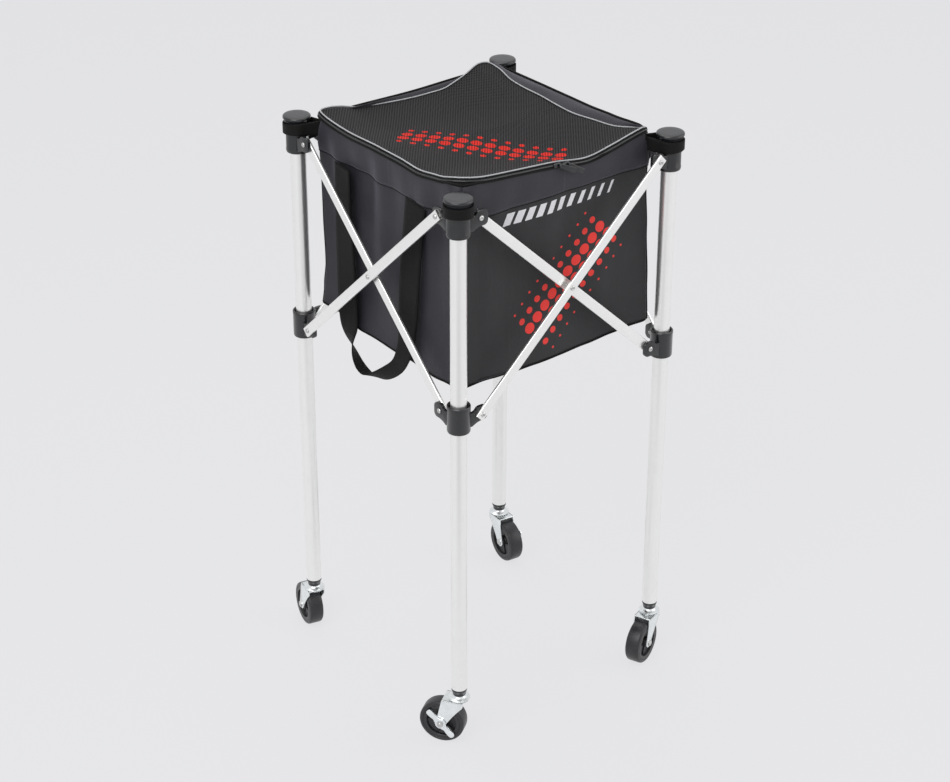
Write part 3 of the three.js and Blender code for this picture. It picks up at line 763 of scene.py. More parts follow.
class CART_OT_stage(Operator):
    """Camera at the photographer's place, pale floor and soft studio light"""

    bl_idname = "ball_cart.stage"
    bl_label = "Stage"

    def execute(self, context):
        stage = settings("ball_cart_stage")
        scene = context.scene
        scene.view_settings.view_transform = "Standard"
        camera = bpy.data.cameras.new("camera")
        camera.lens = stage.lens
        camera.sensor_width = 36
        camera.clip_end = 60
        eye = bpy.data.objects.new("camera", camera)
        eye.location = (-1.98800, -2.51256, 2.20081)
        eye.rotation_euler = tuple(math.radians(a) for a in (61.7223, -0.0906, -38.1284))
        scene.collection.objects.link(eye)
        scene.camera = eye
        self.floor(stage)
        self.world(scene, stage)
        self.lamp("key", (-2.3, -1.1, 2.9), (0, 0, 0.55), 2.6, stage.key_power)
        self.lamp("fill", (2.4, -2.2, 1.9), (0, 0, 0.5), 2.8, stage.fill_power)
        self.lamp("top", (0.3, 0.9, 3.4), (0, 0, 0.6), 2.2, 22)
        return {"FINISHED"}

    def floor(self, stage):
        bm = bmesh.new()
        bmesh.ops.create_grid(bm, x_segments=1, y_segments=1, size=9)
        material, b, shader = finish_material("pale floor")
        b.put(shader.inputs["Base Color"], tuple(stage.backdrop))
        shader.inputs["Roughness"].default_value = 0.9
        shader.inputs["Specular IOR Level"].default_value = 0.1
        paths = b.node("ShaderNodeLightPath").outputs
        seen = b.maths("MULTIPLY", paths["Is Camera Ray"], 0.88)
        seen = b.maths("MAXIMUM", seen, b.maths("MULTIPLY", paths["Is Glossy Ray"], 0.75))
        # Painted reflection: for glossy rays the floor glows dimmer in a soft patch round (-0.95, -1.20), on
        # the camera's side, and brighter further off. The metal reflects this as a painted dark band and
        # painted highlights. Camera rays still see an even floor.
        x, y, _ = b.split(object_coordinates(b))[:3]
        x, y = b.maths("ADD", x, 0.95), b.maths("ADD", y, 1.20)
        far = b.maths("SQRT", b.maths("MULTIPLY_ADD", x, x, b.maths("MULTIPLY", y, y)))
        painted_reflection_glow = b.maths("MULTIPLY_ADD", b.ramp(far, 0.20, 0.95), 0.42, 0.72)
        glow = b.tree.nodes.new("ShaderNodeEmission")
        b.put(glow.inputs["Color"], tuple(stage.backdrop))
        unseen = b.maths("SUBTRACT", 1.0, paths["Is Camera Ray"])
        b.put(glow.inputs["Strength"], b.maths("MULTIPLY_ADD", unseen, painted_reflection_glow, paths["Is Camera Ray"]))
        blend = b.tree.nodes.new("ShaderNodeMixShader")
        output = next(n for n in b.tree.nodes if n.type == "OUTPUT_MATERIAL")
        b.put(blend.inputs[0], seen)
        b.put(blend.inputs[1], shader.outputs[0])
        b.put(blend.inputs[2], glow.outputs[0])
        b.put(output.inputs["Surface"], blend.outputs[0])
        floor = object_from(bm, "floor", material)

    def world(self, scene, stage):
        world = bpy.data.worlds.new("studio")
        scene.world = world
        world.use_nodes = True
        b = NodeBench(world.node_tree)
        paths = b.node("ShaderNodeLightPath").outputs
        background = next(n for n in world.node_tree.nodes if n.type == "BACKGROUND")
        b.put(background.inputs["Color"], tuple(stage.backdrop))
        seen = b.maths("MAXIMUM", paths["Is Camera Ray"], paths["Is Glossy Ray"])
        seen = b.maths("MAXIMUM", seen, paths["Is Transmission Ray"])
        b.put(background.inputs["Strength"], b.maths("MULTIPLY_ADD", seen, 0.45, 0.55))

    def lamp(self, name, place, aim, size, power):
        light = bpy.data.lights.new(name, "AREA")
        light.shape = "SQUARE"
        light.size = size
        light.energy = power
        lamp = bpy.data.objects.new(name, light)
        lamp.location = place
        lamp.rotation_euler = (Vector(aim) - Vector(place)).to_track_quat("-Z", "Y").to_euler()
        bpy.context.scene.collection.objects.link(lamp)


# ---------------------------------------------------------------- frame


class CART_OT_legs(Operator):
    """Four drawn aluminium tubes, open at both ends"""

    bl_idname = "ball_cart.legs"
    bl_label = "Leg tubes"

    def execute(self, context):
        cart = settings("ball_cart_frame")
        outer, inner = cart.tube_radius, cart.tube_radius - cart.tube_wall
        material = aluminium_material("leg aluminium")
        for number, corner in enumerate(CORNERS):
            low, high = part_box(f"leg_tube_{corner}")
            ease = 0.0003
            bm = turned([(inner, low.z), (outer - ease, low.z), (outer, low.z + ease),
                         (outer, high.z - ease), (outer - ease, high.z), (inner, high.z)], 56)
            moved(bm, Matrix.Translation(((low.x + high.x) / 2, (low.y + high.y) / 2, 0)))
            piece = object_from(bm, f"tube_{corner}", material)
            carry(piece, f"leg_{corner}", "tube", f"leg_tube_{corner}")
        return {"FINISHED"}


EAR_OFFSET = 0.009
EAR_THICKNESS = 0.005
EAR_RADIUS = 0.012


def ear(reach, drop, body_radius):
    """An ear along +X from the leg's axis, with a round end about the pivot and a gusset below."""
    near = -EAR_OFFSET - EAR_THICKNESS / 2
    far = near + EAR_THICKNESS
    end = reach + EAR_RADIUS
    points = [(body_radius * 0.55, 0.0055), (reach - 0.0105, 0.0055), (reach - 0.0062, EAR_RADIUS),
              (end, EAR_RADIUS), (end, -EAR_RADIUS), (reach - 0.0035, -EAR_RADIUS),
              (body_radius + 0.004, -0.0145), (body_radius - 0.0005, -drop), (body_radius * 0.55, -drop)]
    rounds = [(0, 1), (0.003, 3), (0.004, 4), (0.0075, 8), (0.0075, 8), (0.004, 4),
              (0.006, 5), (0.001, 2), (0, 1)]
    bm = rounded_plate(points, near, far, rounds, 0.0006)
    ring = turned([(0.0042, 0), (0.0060, 0), (0.0060, 0.0005), (0.0042, 0.0005)], 24)
    moved(ring, Matrix.Translation((reach, near, 0)) @ Matrix.Rotation(math.pi / 2, 4, "X"))
    return add_to(bm, ring)


def both_ears(bm, height, reach, drop, body_radius):
    across = Matrix(((0, 1, 0, 0), (1, 0, 0, 0), (0, 0, 1, 0), (0, 0, 0, 1)))
    lift = Matrix.Translation((0, 0, height))
    add_to(bm, moved(ear(reach, drop, body_radius), lift))
    add_to(bm, moved(ear(reach, drop, body_radius), lift @ across))
    return bm


class CART_OT_mouldings(Operator):
    """Corner brackets, mushroom caps and slide collars"""

    bl_idname = "ball_cart.mouldings"
    bl_label = "Mouldings"

    def execute(self, context):
        material = moulding_material()
        pivot = Vector(JOINTS["fold"]["pos_m"])
        low_pivot = Vector(JOINTS["front_right_collar_pivot"]["pos_m"])
        reach = pivot.x - LEG.x
        for number, corner in enumerate(CORNERS):
            place = corner_turn(number) @ Matrix.Translation(LEG)
            for name, made, node in (
                ("bracket", self.bracket(pivot.z, reach), "corner_bracket"),
                ("cap", self.cap(), "top_cap"),
                ("collar", self.collar(low_pivot.z, reach), "slide_collar"),
            ):
                piece = object_from(moved(made, place), f"{name}_{corner}", material)
                body = f"collar_{corner}" if name == "collar" else f"leg_{corner}"
                carry(piece, body, "moulding", f"{node}_{corner}")
        return {"FINISHED"}

    def bracket(self, height, reach):
        low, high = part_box("corner_bracket_front")
        bore, body = 0.0129, 0.0180
        bm = turned([
            (bore, low.z + 0.0006), (bore + 0.0008, low.z), (body - 0.0022, low.z),
            (body - 0.0007, low.z + 0.0006), (body, low.z + 0.0024), (body, low.z + 0.006),
            (body - 0.0004, low.z + 0.0068), (body - 0.0004, high.z), (bore, high.z)], 56)
        return both_ears(bm, height, reach, 0.017, body)

    def cap(self):
        low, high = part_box("top_cap_front")
        head, skirt = 0.0216, 0.0198
        under = high.z - 0.0056
        return turned([
            (0, high.z - 0.0066), (0.0184, high.z - 0.0066), (0.0184, low.z),
            (skirt - 0.0005, low.z), (skirt, low.z + 0.0005), (skirt, under - 0.0012),
            (skirt + 0.0007, under - 0.0002), (head - 0.0008, under + 0.0002),
            (head, under + 0.0012), (head, high.z - 0.0026), (head - 0.0004, high.z - 0.0013),
            (head - 0.0014, high.z - 0.0004), (head - 0.0028, high.z - 0.0001), (0.012, high.z),
            (0, high.z)], 64)

    def collar(self, height, reach):
        low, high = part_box("slide_collar_front")
        bore, body = 0.0130, 0.0176
        bm = turned([
            (bore, low.z + 0.0006), (bore + 0.0008, low.z), (body - 0.0020, low.z),
            (body - 0.0006, low.z + 0.0006), (body, low.z + 0.0022), (body, high.z - 0.0066),
            (body + 0.0003, high.z - 0.0058), (body + 0.0003, high.z - 0.0010),
            (body - 0.0006, high.z), (bore + 0.0026, high.z), (bore + 0.0014, high.z - 0.0016),
            (bore, high.z - 0.0040)], 56)
        return both_ears(bm, height, reach, 0.017, body)


class CART_OT_bars(Operator):
    """Crossed flat bars with their rivets on each side"""

    bl_idname = "ball_cart.bars"
    bl_label = "Scissor bars"

    def execute(self, context):
        cart = settings("ball_cart_frame")
        metal = rivet_material()
        top = Vector(JOINTS["fold"]["pos_m"])
        low = Vector(JOINTS["front_right_collar_pivot"]["pos_m"])
        span = Vector((-2 * top.x, 0, top.z - low.z))
        length = span.length
        lean = math.atan2(span.x, span.z)
        inner_y, outer_y = top.y, low.y
        middle_z = (top.z + low.z) / 2
        ear_near = LEG.y - EAR_OFFSET - EAR_THICKNESS / 2
        ear_far = ear_near + EAR_THICKNESS
        for number, side in enumerate(SIDES):
            turn = corner_turn(number)
            for kind, y, way in (("inner", inner_y, -1), ("outer", outer_y, 1)):
                name = f"{kind}_bar_{side}"
                tilt = Matrix.Translation((0, y, middle_z)) @ Matrix.Rotation(way * lean, 4, "Y")
                material = aluminium_material(
                    f"bar aluminium {kind} {number % 2}",
                    turn=(way * lean, 0, 0) if number % 2 else (0, -way * lean, 0))
                bm = moved(self.bar(cart, length), turn @ tilt)
                carry(object_from(bm, f"{name}_tube", material), name, "bar", name)
                rivets = bmesh.new()
                face = cart.bar_thickness / 2
                if kind == "inner":
                    spans = [(-length / 2, ear_near - y, face), (0, outer_y - face - y, face),
                             (length / 2, ear_near - y, face)]
                else:
                    spans = [(-length / 2, -face, ear_far - y), (length / 2, -face, ear_far - y)]
                for along, near, far in spans:
                    add_to(rivets, moved(self.rivet(near, far), Matrix.Translation((0, 0, along))))
                moved(rivets, turn @ tilt)
                carry(object_from(rivets, f"{name}_rivets", metal), name, "pin_steel", name)
        return {"FINISHED"}

    def bar(self, cart, length):
        beyond_pivots = 0.016
        bm = bmesh.new()
        bmesh.ops.create_cube(bm, size=1)
        bmesh.ops.scale(bm, vec=(cart.bar_width, cart.bar_thickness, length + beyond_pivots), verts=bm.verts)
        upright = [e for e in bm.edges if abs(e.verts[0].co.z - e.verts[1].co.z) > 0.1]
        bevelled(bm, upright, 0.0016, 4)
        ends = [f for f in bm.faces if abs(f.normal.z) > 0.9]
        bmesh.ops.inset_region(bm, faces=ends, thickness=0.0010, use_even_offset=True)
        for end in [f for f in bm.faces if abs(f.normal.z) > 0.9 and len(f.verts) > 4]:
            pushed = bmesh.ops.extrude_face_region(bm, geom=[end])
            inward = -math.copysign(0.02, end.calc_center_median().z)
            bmesh.ops.translate(bm, vec=(0, 0, inward),
                                verts=[v for v in pushed["geom"] if isinstance(v, bmesh.types.BMVert)])
            bmesh.ops.delete(bm, geom=[end], context="FACES_ONLY")
        bmesh.ops.recalc_face_normals(bm, faces=bm.faces)
        return bm

    def rivet(self, near, far):
        """A hollow rivet along Y with a rolled head at each end."""
        head, shaft, rise, dish = 0.0040, 0.0024, 0.0017, 0.0014

        def end(place, way):
            return [(shaft, place), (head - 0.0003, place), (head, place + way * 0.0004),
                    (head - 0.0006, place + way * 0.0012), (head - 0.0018, place + way * rise),
                    (dish, place + way * rise * 0.8), (dish - 0.0004, place + way * 0.0003),
                    (0, place + way * 0.0002)]

        points = list(reversed(end(near - 0.0002, -1))) + end(far + 0.0002, 1)
        onto_y = Matrix.Rotation(math.pi / 2, 4, "X") @ Matrix.Scale(-1, 4, UP)
        return moved(turned(points, 24), onto_y)


# ---------------------------------------------------------------- casters


class CART_OT_casters(Operator):
    """Stems, forks, wheels, axles and brake levers"""

    bl_idname = "ball_cart.casters"
    bl_label = "Casters"

    def execute(self, context):
        casters = settings("ball_cart_casters")
        plating, rubber, steel = plating_material(), wheel_material(), rivet_material()
        black = moulding_material()
        for number, corner in enumerate(CORNERS):
            axle = JOINTS[f"wheel_{corner}_spin"]
            hub, along = Vector(axle["pos_m"]), Vector(axle["axis"])
            leg = corner_turn(number) @ LEG
            trail = Vector((hub.x - leg.x, hub.y - leg.y, 0))
            upright = Matrix.Translation((leg.x, leg.y, 0))
            turn = upright @ Matrix.Rotation(math.atan2(trail.y, trail.x), 4, "Z")
            reach = trail.length
            on_axle = turn @ Matrix.Translation((reach, 0, hub.z))
            braked = f"brake_{corner}_press" in JOINTS
            pieces = [
                ("stem", self.stem(), upright, plating, "leg", "plated_steel", "caster_stem"),
                ("stem_sleeve", self.sleeve(), upright, black, "leg", "moulding", "caster_stem"),
                ("fork", self.fork(reach, hub.z), turn, plating, "caster", "plated_steel", "caster_fork"),
                ("wheel", self.wheel(casters), on_axle, rubber, "wheel", "wheel", "caster_wheel"),
                ("axle", self.axle(braked), on_axle, steel, "caster", "pin_steel", "caster_axle")]
            if braked:
                tilted = on_axle @ Matrix.Rotation(math.radians(-45), 4, "Y")
                pieces.append(
                    ("lever", self.lever(), tilted, plating, "brake", "plated_steel", "brake_lever"))
            for name, made, place, material, body, slot, node in pieces:
                piece = object_from(moved(made, place), f"{name}_{corner}", material)
                carry(piece, f"{body}_{corner}", slot, f"{node}_{corner}")
        return {"FINISHED"}

    def race_and_flange(self):
        """Height of the bearing's face over the fork's crown, and of the flange under the tube."""
        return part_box("caster_fork_front")[1].z + 0.0003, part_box("leg_tube_front")[0].z - 0.0025

    def stem(self):
        """Plug in the tube, flange, bearing disc and king pin."""
        low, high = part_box("caster_stem_front")
        race, flange = self.race_and_flange()
        return turned([
            (0, low.z), (0.0062, low.z), (0.0070, low.z + 0.0006), (0.0066, low.z + 0.0018),
            (0.0038, low.z + 0.0020), (0.0038, race), (0.0156, race), (0.0162, race + 0.0003),
            (0.0162, race + 0.0006), (0.0138, race + 0.0008), (0.0138, race + 0.0018),
            (0.0170, race + 0.0020), (0.0174, race + 0.0025), (0.0172, race + 0.0031),
            (0.0158, race + 0.0038), (0.0128, race + 0.0048), (0.0106, race + 0.0060),
            (0.0094, race + 0.0076), (0.0090, flange), (0.0118, flange), (0.0118, flange + 0.0022),
            (0.0105, flange + 0.0025), (0.0105, high.z - 0.002), (0.0085, high.z), (0, high.z)], 56)

    def sleeve(self):
        """Black cone between the bearing disc and the tube."""
        race, flange = self.race_and_flange()
        return turned([
            (0.0091, race + 0.0084), (0.0099, race + 0.0084), (0.0103, race + 0.0090),
            (0.0105, race + 0.0110), (0.0113, flange - 0.0022), (0.0122, flange - 0.0012),
            (0.0124, flange - 0.0004), (0.0124, flange + 0.0018), (0.0119, flange + 0.0023),
            (0.0119, flange - 0.0002), (0.0091, flange - 0.0002)], 48)

    def fork(self, reach, axle_height):
        """Flat crown plate with folded cheeks that end in round feet at the axle."""
        top, inner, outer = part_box("caster_fork_front")[1].z, 0.0129, 0.0149
        front, back, foot = -0.010, 0.025, 0.0083
        corner = foot / math.cos(math.radians(38.5))
        feet = [(reach + corner * math.cos(math.radians(a)), axle_height + corner * math.sin(math.radians(a)))
                for a in (254.5, 331.5)]
        points = [(front, top), (front, top - 0.0080), (0.0060, axle_height + 0.0176), *feet, (back, top)]
        rounds = [(0.0008, 2), (0.003, 3), (0.014, 8), (0.0065, 8), (0.0065, 8), (0.0008, 2)]
        bm = rounded_plate(points, inner, outer, rounds, 0.0004)
        add_to(bm, rounded_plate(points, -outer, -inner, rounds, 0.0004))
        crown = rounded_box((back - front, 2 * outer, 0.0024), 0.0009, 3)
        add_to(bm, moved(crown, Matrix.Translation(((front + back) / 2, 0, top - 0.0012))))
        for side in (-1, 1):
            boss = turned([(0.0036, 0), (0.0064, 0), (0.0060, 0.0006), (0.0036, 0.0006)], 28)
            moved(boss, Matrix.Translation((reach, side * outer, axle_height)) @
                  Matrix.Rotation(-side * math.pi / 2, 4, "X"))
            add_to(bm, boss)
        return bm

    def wheel(self, casters):
        radius, half = casters.wheel_radius, casters.wheel_width / 2
        side = [
            (0.0039, 0.0125), (0.0082, 0.0125), (0.0088, 0.0118), (0.0092, half - 0.0046),
            (0.0100, half - 0.0054), (0.0222, half - 0.0054), (0.0234, half - 0.0046),
            (0.0243, half - 0.0006), (0.0250, half), (0.0298, half), (0.0302, half - 0.0005),
            (0.0307, half - 0.0005), (0.0311, half), (radius - 0.0036, half - 0.0001),
            (radius - 0.0016, half - 0.0008), (radius - 0.0005, half - 0.0020), (radius, half - 0.0038)]
        points = [(r, -h) for r, h in side] + [(r, h) for r, h in reversed(side)]
        bm = turned(points, 72)
        for count in range(5):
            for way in (-1, 1):
                rib = rounded_box((0.0140, 0.0024, 0.0030), 0.0005, 2)
                moved(rib, Matrix.Rotation(count * 2 * math.pi / 5, 4, "Z") @
                      Matrix.Translation((0.0160, 0, way * (half - 0.0050))))
                add_to(bm, rib)
        return moved(bm, Matrix.Rotation(math.pi / 2, 4, "X"))

    def axle(self, braked):
        outer = 0.0149 + 0.0003
        far = outer + (0.0027 if braked else 0)
        bm = turned([
            (0, -outer - 0.0030), (0.0022, -outer - 0.0030), (0.0048, -outer - 0.0022),
            (0.0055, -outer - 0.0008), (0.0055, -outer), (0.0033, -outer), (0.0033, far),
            (0.0036, far), (0.0036, far + 0.0028), (0.0030, far + 0.0033), (0, far + 0.0033)], 32)
        nut = bmesh.new()
        bmesh.ops.create_cone(nut, cap_ends=True, segments=6, radius1=0.0056, radius2=0.0056, depth=0.0024)
        bevelled(nut, list(nut.edges), 0.0004, 2)
        add_to(bm, moved(nut, Matrix.Translation((0, 0, far + 0.0013))))
        return moved(bm, Matrix.Rotation(-math.pi / 2, 4, "X"))

    def lever(self):
        """A rocker with two oval treads, waisted arms and a round hub."""
        near, far = 0.0152, 0.0176
        arm = [(0.0300, -0.0054), (0.0185, -0.0052), (0.0125, -0.0036), (0.0080, -0.0060)]
        under = [(-x, z) for x, z in arm] + arm[::-1]
        points = under + [(x, -z) for x, z in reversed(under)]
        rounds = [(0.0048, 6), (0.0030, 3), (0.0020, 3), (0.0015, 2)]
        rounds = (rounds + rounds[::-1]) * 2
        bm = rounded_plate(points, near, far, rounds, 0.0006)
        hub = turned([(0, near), (0.0086, near), (0.0092, near + 0.0006), (0.0092, far - 0.0006),
                      (0.0086, far + 0.0001), (0.0070, far + 0.0004), (0, far + 0.0004)], 40)
        moved(hub, Matrix.Rotation(-math.pi / 2, 4, "X"))
        add_to(bm, hub)
        for place in (-0.0185, 0.0185):
            flange = rounded_box((0.0165, 0.0030, 0.0014), 0.0004, 2)
            add_to(bm, moved(flange, Matrix.Translation((place, near - 0.0006, 0.0044))))
        for place in (-0.0240, 0.0240):
            pad = turned([(0, far - 0.0004), (0.0042, far - 0.0004), (0.0042, far + 0.0002),
                          (0.0034, far + 0.0007), (0, far + 0.0008)], 28)
            moved(pad, Matrix.Translation((place, 0, 0)) @ Matrix.Scale(1.3, 4, (1, 0, 0)) @
                  Matrix.Rotation(-math.pi / 2, 4, "X"))
            add_to(bm, pad)
        return bm


# ---------------------------------------------------------------- bag

# Along each side from its left corner to its right one, in metres from the middle; heights over RIM.
RIM_STOPS = {
    "front_right": [(-0.181, 0.0096), (-0.161, 0.0121), (-0.081, 0.0058), (-0.010, -0.0003),
                    (0.053, -0.0073), (0.101, -0.0013), (0.162, 0.0116), (0.181, 0.0096)],
    "right_back": [(-0.181, 0.0094), (-0.162, 0.0091), (-0.094, 0.0056), (-0.036, 0.0040),
                   (0.024, 0.0045), (0.085, 0.0049), (0.154, 0.0050), (0.181, 0.0090)],
    "back_left": [(-0.181, 0.0090), (-0.120, 0.0065), (0.0, 0.0040), (0.12, 0.0055), (0.181, 0.0088)],
    "left_front": [(-0.181, 0.0088), (-0.168, 0.0098), (-0.098, 0.0033), (-0.029, 0.0031),
                   (0.038, 0.0021), (0.082, -0.0006), (0.166, 0.0108), (0.181, 0.0098)],
}
FOOT_STOPS = {
    "front_right": [(-0.180, 0.0030), (-0.138, 0.0018), (-0.104, 0.0), (-0.074, -0.0008), (-0.040, 0.0),
                    (0.010, 0.0015), (0.061, 0.0029), (0.113, 0.0065), (0.165, 0.0102), (0.181, 0.0112)],
    "right_back": [(-0.180, 0.0112), (-0.10, 0.0040), (0.0, -0.0010), (0.10, -0.0005), (0.180, 0.0040)],
    "back_left": [(-0.180, 0.0040), (-0.08, -0.0010), (0.06, -0.0010), (0.180, 0.0095)],
    "left_front": [(-0.181, 0.0095), (-0.140, 0.0080), (-0.065, 0.0), (-0.016, -0.0008), (0.030, -0.0021),
                   (0.077, -0.0030), (0.115, -0.0028), (0.152, -0.0004), (0.181, 0.0030)],
}
# How far each upright corner of the bag is drawn in, by its height under RIM; negative where it bulges.
PULL_STOPS = {
    "front": [(-0.3134, 0.0), (-0.20, 0.0020), (-0.08, 0.0015), (0.0, 0.0)],
    "right": [(-0.3134, -0.0076), (-0.2366, -0.0050), (-0.149, -0.0012), (-0.076, 0.0022), (0.0, 0.0)],
    "back": [(-0.3134, 0.0), (-0.20, 0.0060), (-0.08, 0.0040), (0.0, 0.0)],
    "left": [(-0.3134, -0.0005), (-0.2766, 0.0031), (-0.2336, 0.0068), (-0.1506, 0.0050),
             (-0.0836, 0.0044), (-0.0466, 0.0030), (0.0, 0.0)],
}


def rim_height(side, along):
    """Height of the rim on a side; along runs with the side as it is turned from the front right one."""
    return RIM + interpolated(RIM_STOPS[side], along)


def wall_point(share, half, radius):
    """A point on one wall of the rounded square: share 0 and 1 lie on its two corners' diagonals."""
    straight = 2 * (half - radius)
    arc = radius * math.pi / 4
    length = straight + 2 * arc
    run = share * length
    if run < arc:
        angle = -math.pi * 0.75 + run / radius
        middle = -(half - radius)
    elif run > arc + straight:
        angle = -math.pi / 2 + (run - arc - straight) / radius
        middle = half - radius
    else:
        return Vector((-(half - radius) + run - arc, -half, 0)), Vector((0, -1, 0))
    out = Vector((math.cos(angle), math.sin(angle), 0))
    return Vector((middle, -(half - radius), 0)) + out * radius, out


class CART_OT_bag(Operator):
    """Four sewn walls with a doubled hem, corner loops and the floor"""

    bl_idname = "ball_cart.bag"
    bl_label = "Bag"

    def execute(self, context):
        bag = settings("ball_cart_bag")
        webbing = webbing_material()
        carried = {"front_right": ("leg_front", ALONG_X), "right_back": ("leg_right", ALONG_Y),
                   "back_left": ("leg_left", ALONG_X), "left_front": ("leg_front", ALONG_Y)}
        for number, side in enumerate(SIDES):
            turn = corner_turn(number)
            body, axis = carried[side]
            for made in self.side(bag, number, side, turn, webbing):
                carry(made, body, "bag_cloth", "bag")
                fold_up(made, axis)
        for number, corner in enumerate(CORNERS):
            made = self.loop(number, corner, webbing)
            carry(made, f"leg_{corner}", "webbing", "bag")
        self.floor(bag)
        return {"FINISHED"}

    def side(self, bag, number, side, turn, webbing):
        half, radius = bag.half_width, bag.corner_radius
        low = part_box("bag")[0].z
        seam = RIM - bag.hem_depth
        length = 2 * (half - radius) + radius * math.pi / 2
        pulls = PULL_STOPS[CORNERS[number]], PULL_STOPS[CORNERS[(number + 1) % 4]]
        soft = (0.8, 1.1, 1.2, 2.2)[number]

        def drawn_in(share, height):
            """The corners pull in, or bulge, between the floor and the loops."""
            left, right = (interpolated(stops, height - RIM) for stops in pulls)
            return left * (1 - share) ** 3 + right * share ** 3

        def waves(share, height):
            """Soft upright folds from the hem, a long hollow across the wall and creases at the corners."""
            fall = (height - low) / (seam - low)
            upright = math.sin(share * 23 + number * 1.7 + 1.5 * fall) * (0.35 + 0.65 * fall)
            upright += 0.6 * math.sin(share * 41 + number * 2.3 - 2.2 * fall) * fall
            slant = math.sin((share + fall * 0.9) * 9.0 + number) * 0.8
            slant += math.sin((share - fall * 0.7) * 12.0 + 2 * number) * 0.5
            edge = min(share, 1 - share)
            calm = min(edge / 0.10, 1)
            hollow = 1.6 * math.sin(math.pi * share) * math.sin(math.pi * min(max(fall, 0), 1))
            return -(0.9 * upright * soft + slant + hollow + 1.2) * bag.slack * calm

        def wall(u, v):
            point, out = wall_point(u, half, radius)
            foot = low + interpolated(FOOT_STOPS[side], (u - 0.5) * 2 * half)
            height = foot + v * (seam + 0.012 - foot)
            point = point + out * (waves(u, height) - drawn_in(u, height))
            point.z = height
            return turn @ point

        material = cloth_material("bag nylon printed and shaded", printed=True) if number == 0 else cloth_material()
        depth = seam + 0.012 - low
        shell = thicken(sheet_of(f"bag_wall_{side}", 90, 64, wall, (length, depth), material), 0.0012)

        def hem(u, v):
            point, out = wall_point(u, half, radius + (0.034 - radius) * v * v)
            along = (u - 0.5) * 2 * half
            top = rim_height(side, along) - 0.0020
            height = seam + v * (top - seam)
            base = waves(u, seam) * (1 - v) * 0.8 - drawn_in(u, height) * (1 - 0.5 * v)
            belly = math.sin(math.pi * v)
            swell = 0.0012 * belly + 0.0006 * math.sin(u * 37 + number) * belly
            roll = -0.0006 if v < 0.03 else 0
            point = point + out * (0.0022 + base + swell + roll)
            point.z = height
            return turn @ point

        doubled = cloth_material("bag nylon hem", hem=True)
        band = sheet_of(f"bag_hem_{side}", 90, 18, hem, (length, bag.hem_depth), doubled)
        thicken(band, 0.0020)
        welt, lip, ridge, foot = (
            cord_of(f"bag_{name}_{side}", points, thick, webbing) for name, points, thick in (
                ("rim", [hem(step / 80, 1.0) + UP * 0.0008 for step in range(81)], 0.0019),
                ("seam", [hem(step / 80, 0.0) for step in range(81)], 0.0008),
                ("corner", [wall(1.0, step / 41) for step in range(41)], 0.0012),
                ("foot", [wall(step / 60, 0.0) for step in range(61)], 0.0016)))
        return [shell, band, welt, lip, ridge, foot]

    def loop(self, number, corner, webbing):
        """Webbing round the cap's skirt, pinched to a doubled tab at the bag's corner."""
        low, high = RIM - 0.0205, RIM + 0.0008
        inner = 0.0202
        outward = Vector((1, 1, 0)).normalized()
        reach = 0.0220

        def band(u, v):
            angle = math.pi / 4 + 0.42 + u * (2 * math.pi - 0.84)
            point = Vector((math.cos(angle), math.sin(angle), 0)) * inner
            end = min(u, 1 - u)
            if end < 0.08:
                pinch = 1 - end / 0.08
                side = -1 if u < 0.5 else 1
                tip = outward * (inner + reach) + Vector((outward.y, -outward.x, 0)) * side * 0.0010
                point = point.lerp(tip, pinch)
            far = (1 - math.cos(angle - math.pi / 4)) / 2
            slope = 0.0008 * math.sin(angle * 2 + number)
            height = (low + 0.0020 * far) * (1 - v) + (high - 0.0042 * far) * v + slope
            return corner_turn(number) @ (LEG + point + Vector((0, 0, height)))

        made = sheet_of(f"corner_loop_{corner}", 72, 6, band, (0.15, 0.022), webbing)
        return thicken(made, 0.0019, 1.0)

    def floor(self, bag):
        material = cloth_material("bag nylon floor")
        edge = bag.half_width - 0.0024
        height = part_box("bag_floor_front")[0].z
        for name, way in (("front", -1), ("back", 1)):
            def place(u, v, way=way):
                x, y = (u - 0.5) * 2 * edge, way * v * edge
                sag = -0.0012 * (1 - (x / edge) ** 2) * (1 - (y / edge) ** 2)
                ripple = 0.0004 * math.sin(x * 60) * math.sin(y * 48 + 1)
                soft = (sag + ripple) * (max(abs(x), abs(y)) / edge < 1)
                return Vector((x, y, height + 0.0014 + self.lifted(x, y, edge) + soft))

            made = sheet_of(f"floor_sheet_{name}", 48, 24, place, (2 * edge, edge), material)
            thicken(made, 0.0012, 0)
            carry(made, f"floor_{name}", "bag_cloth", f"bag_floor_{name}")
            fold_up(made, ALONG_X)

    def lifted(self, x, y, edge):
        """The floor's edges follow the feet of the walls."""
        side, at = ("right_back", y) if x > 0 else ("left_front", -y)
        across = interpolated(FOOT_STOPS[side], at)
        side, at = ("back_left", -x) if y > 0 else ("front_right", x)
        along = interpolated(FOOT_STOPS[side], at)
        wide, deep = (abs(x) / edge) ** 4, (abs(y) / edge) ** 4
        share = max(wide, deep)
        return share * (across * wide + along * deep) / max(wide + deep, 1e-9)


# ---------------------------------------------------------------- lid


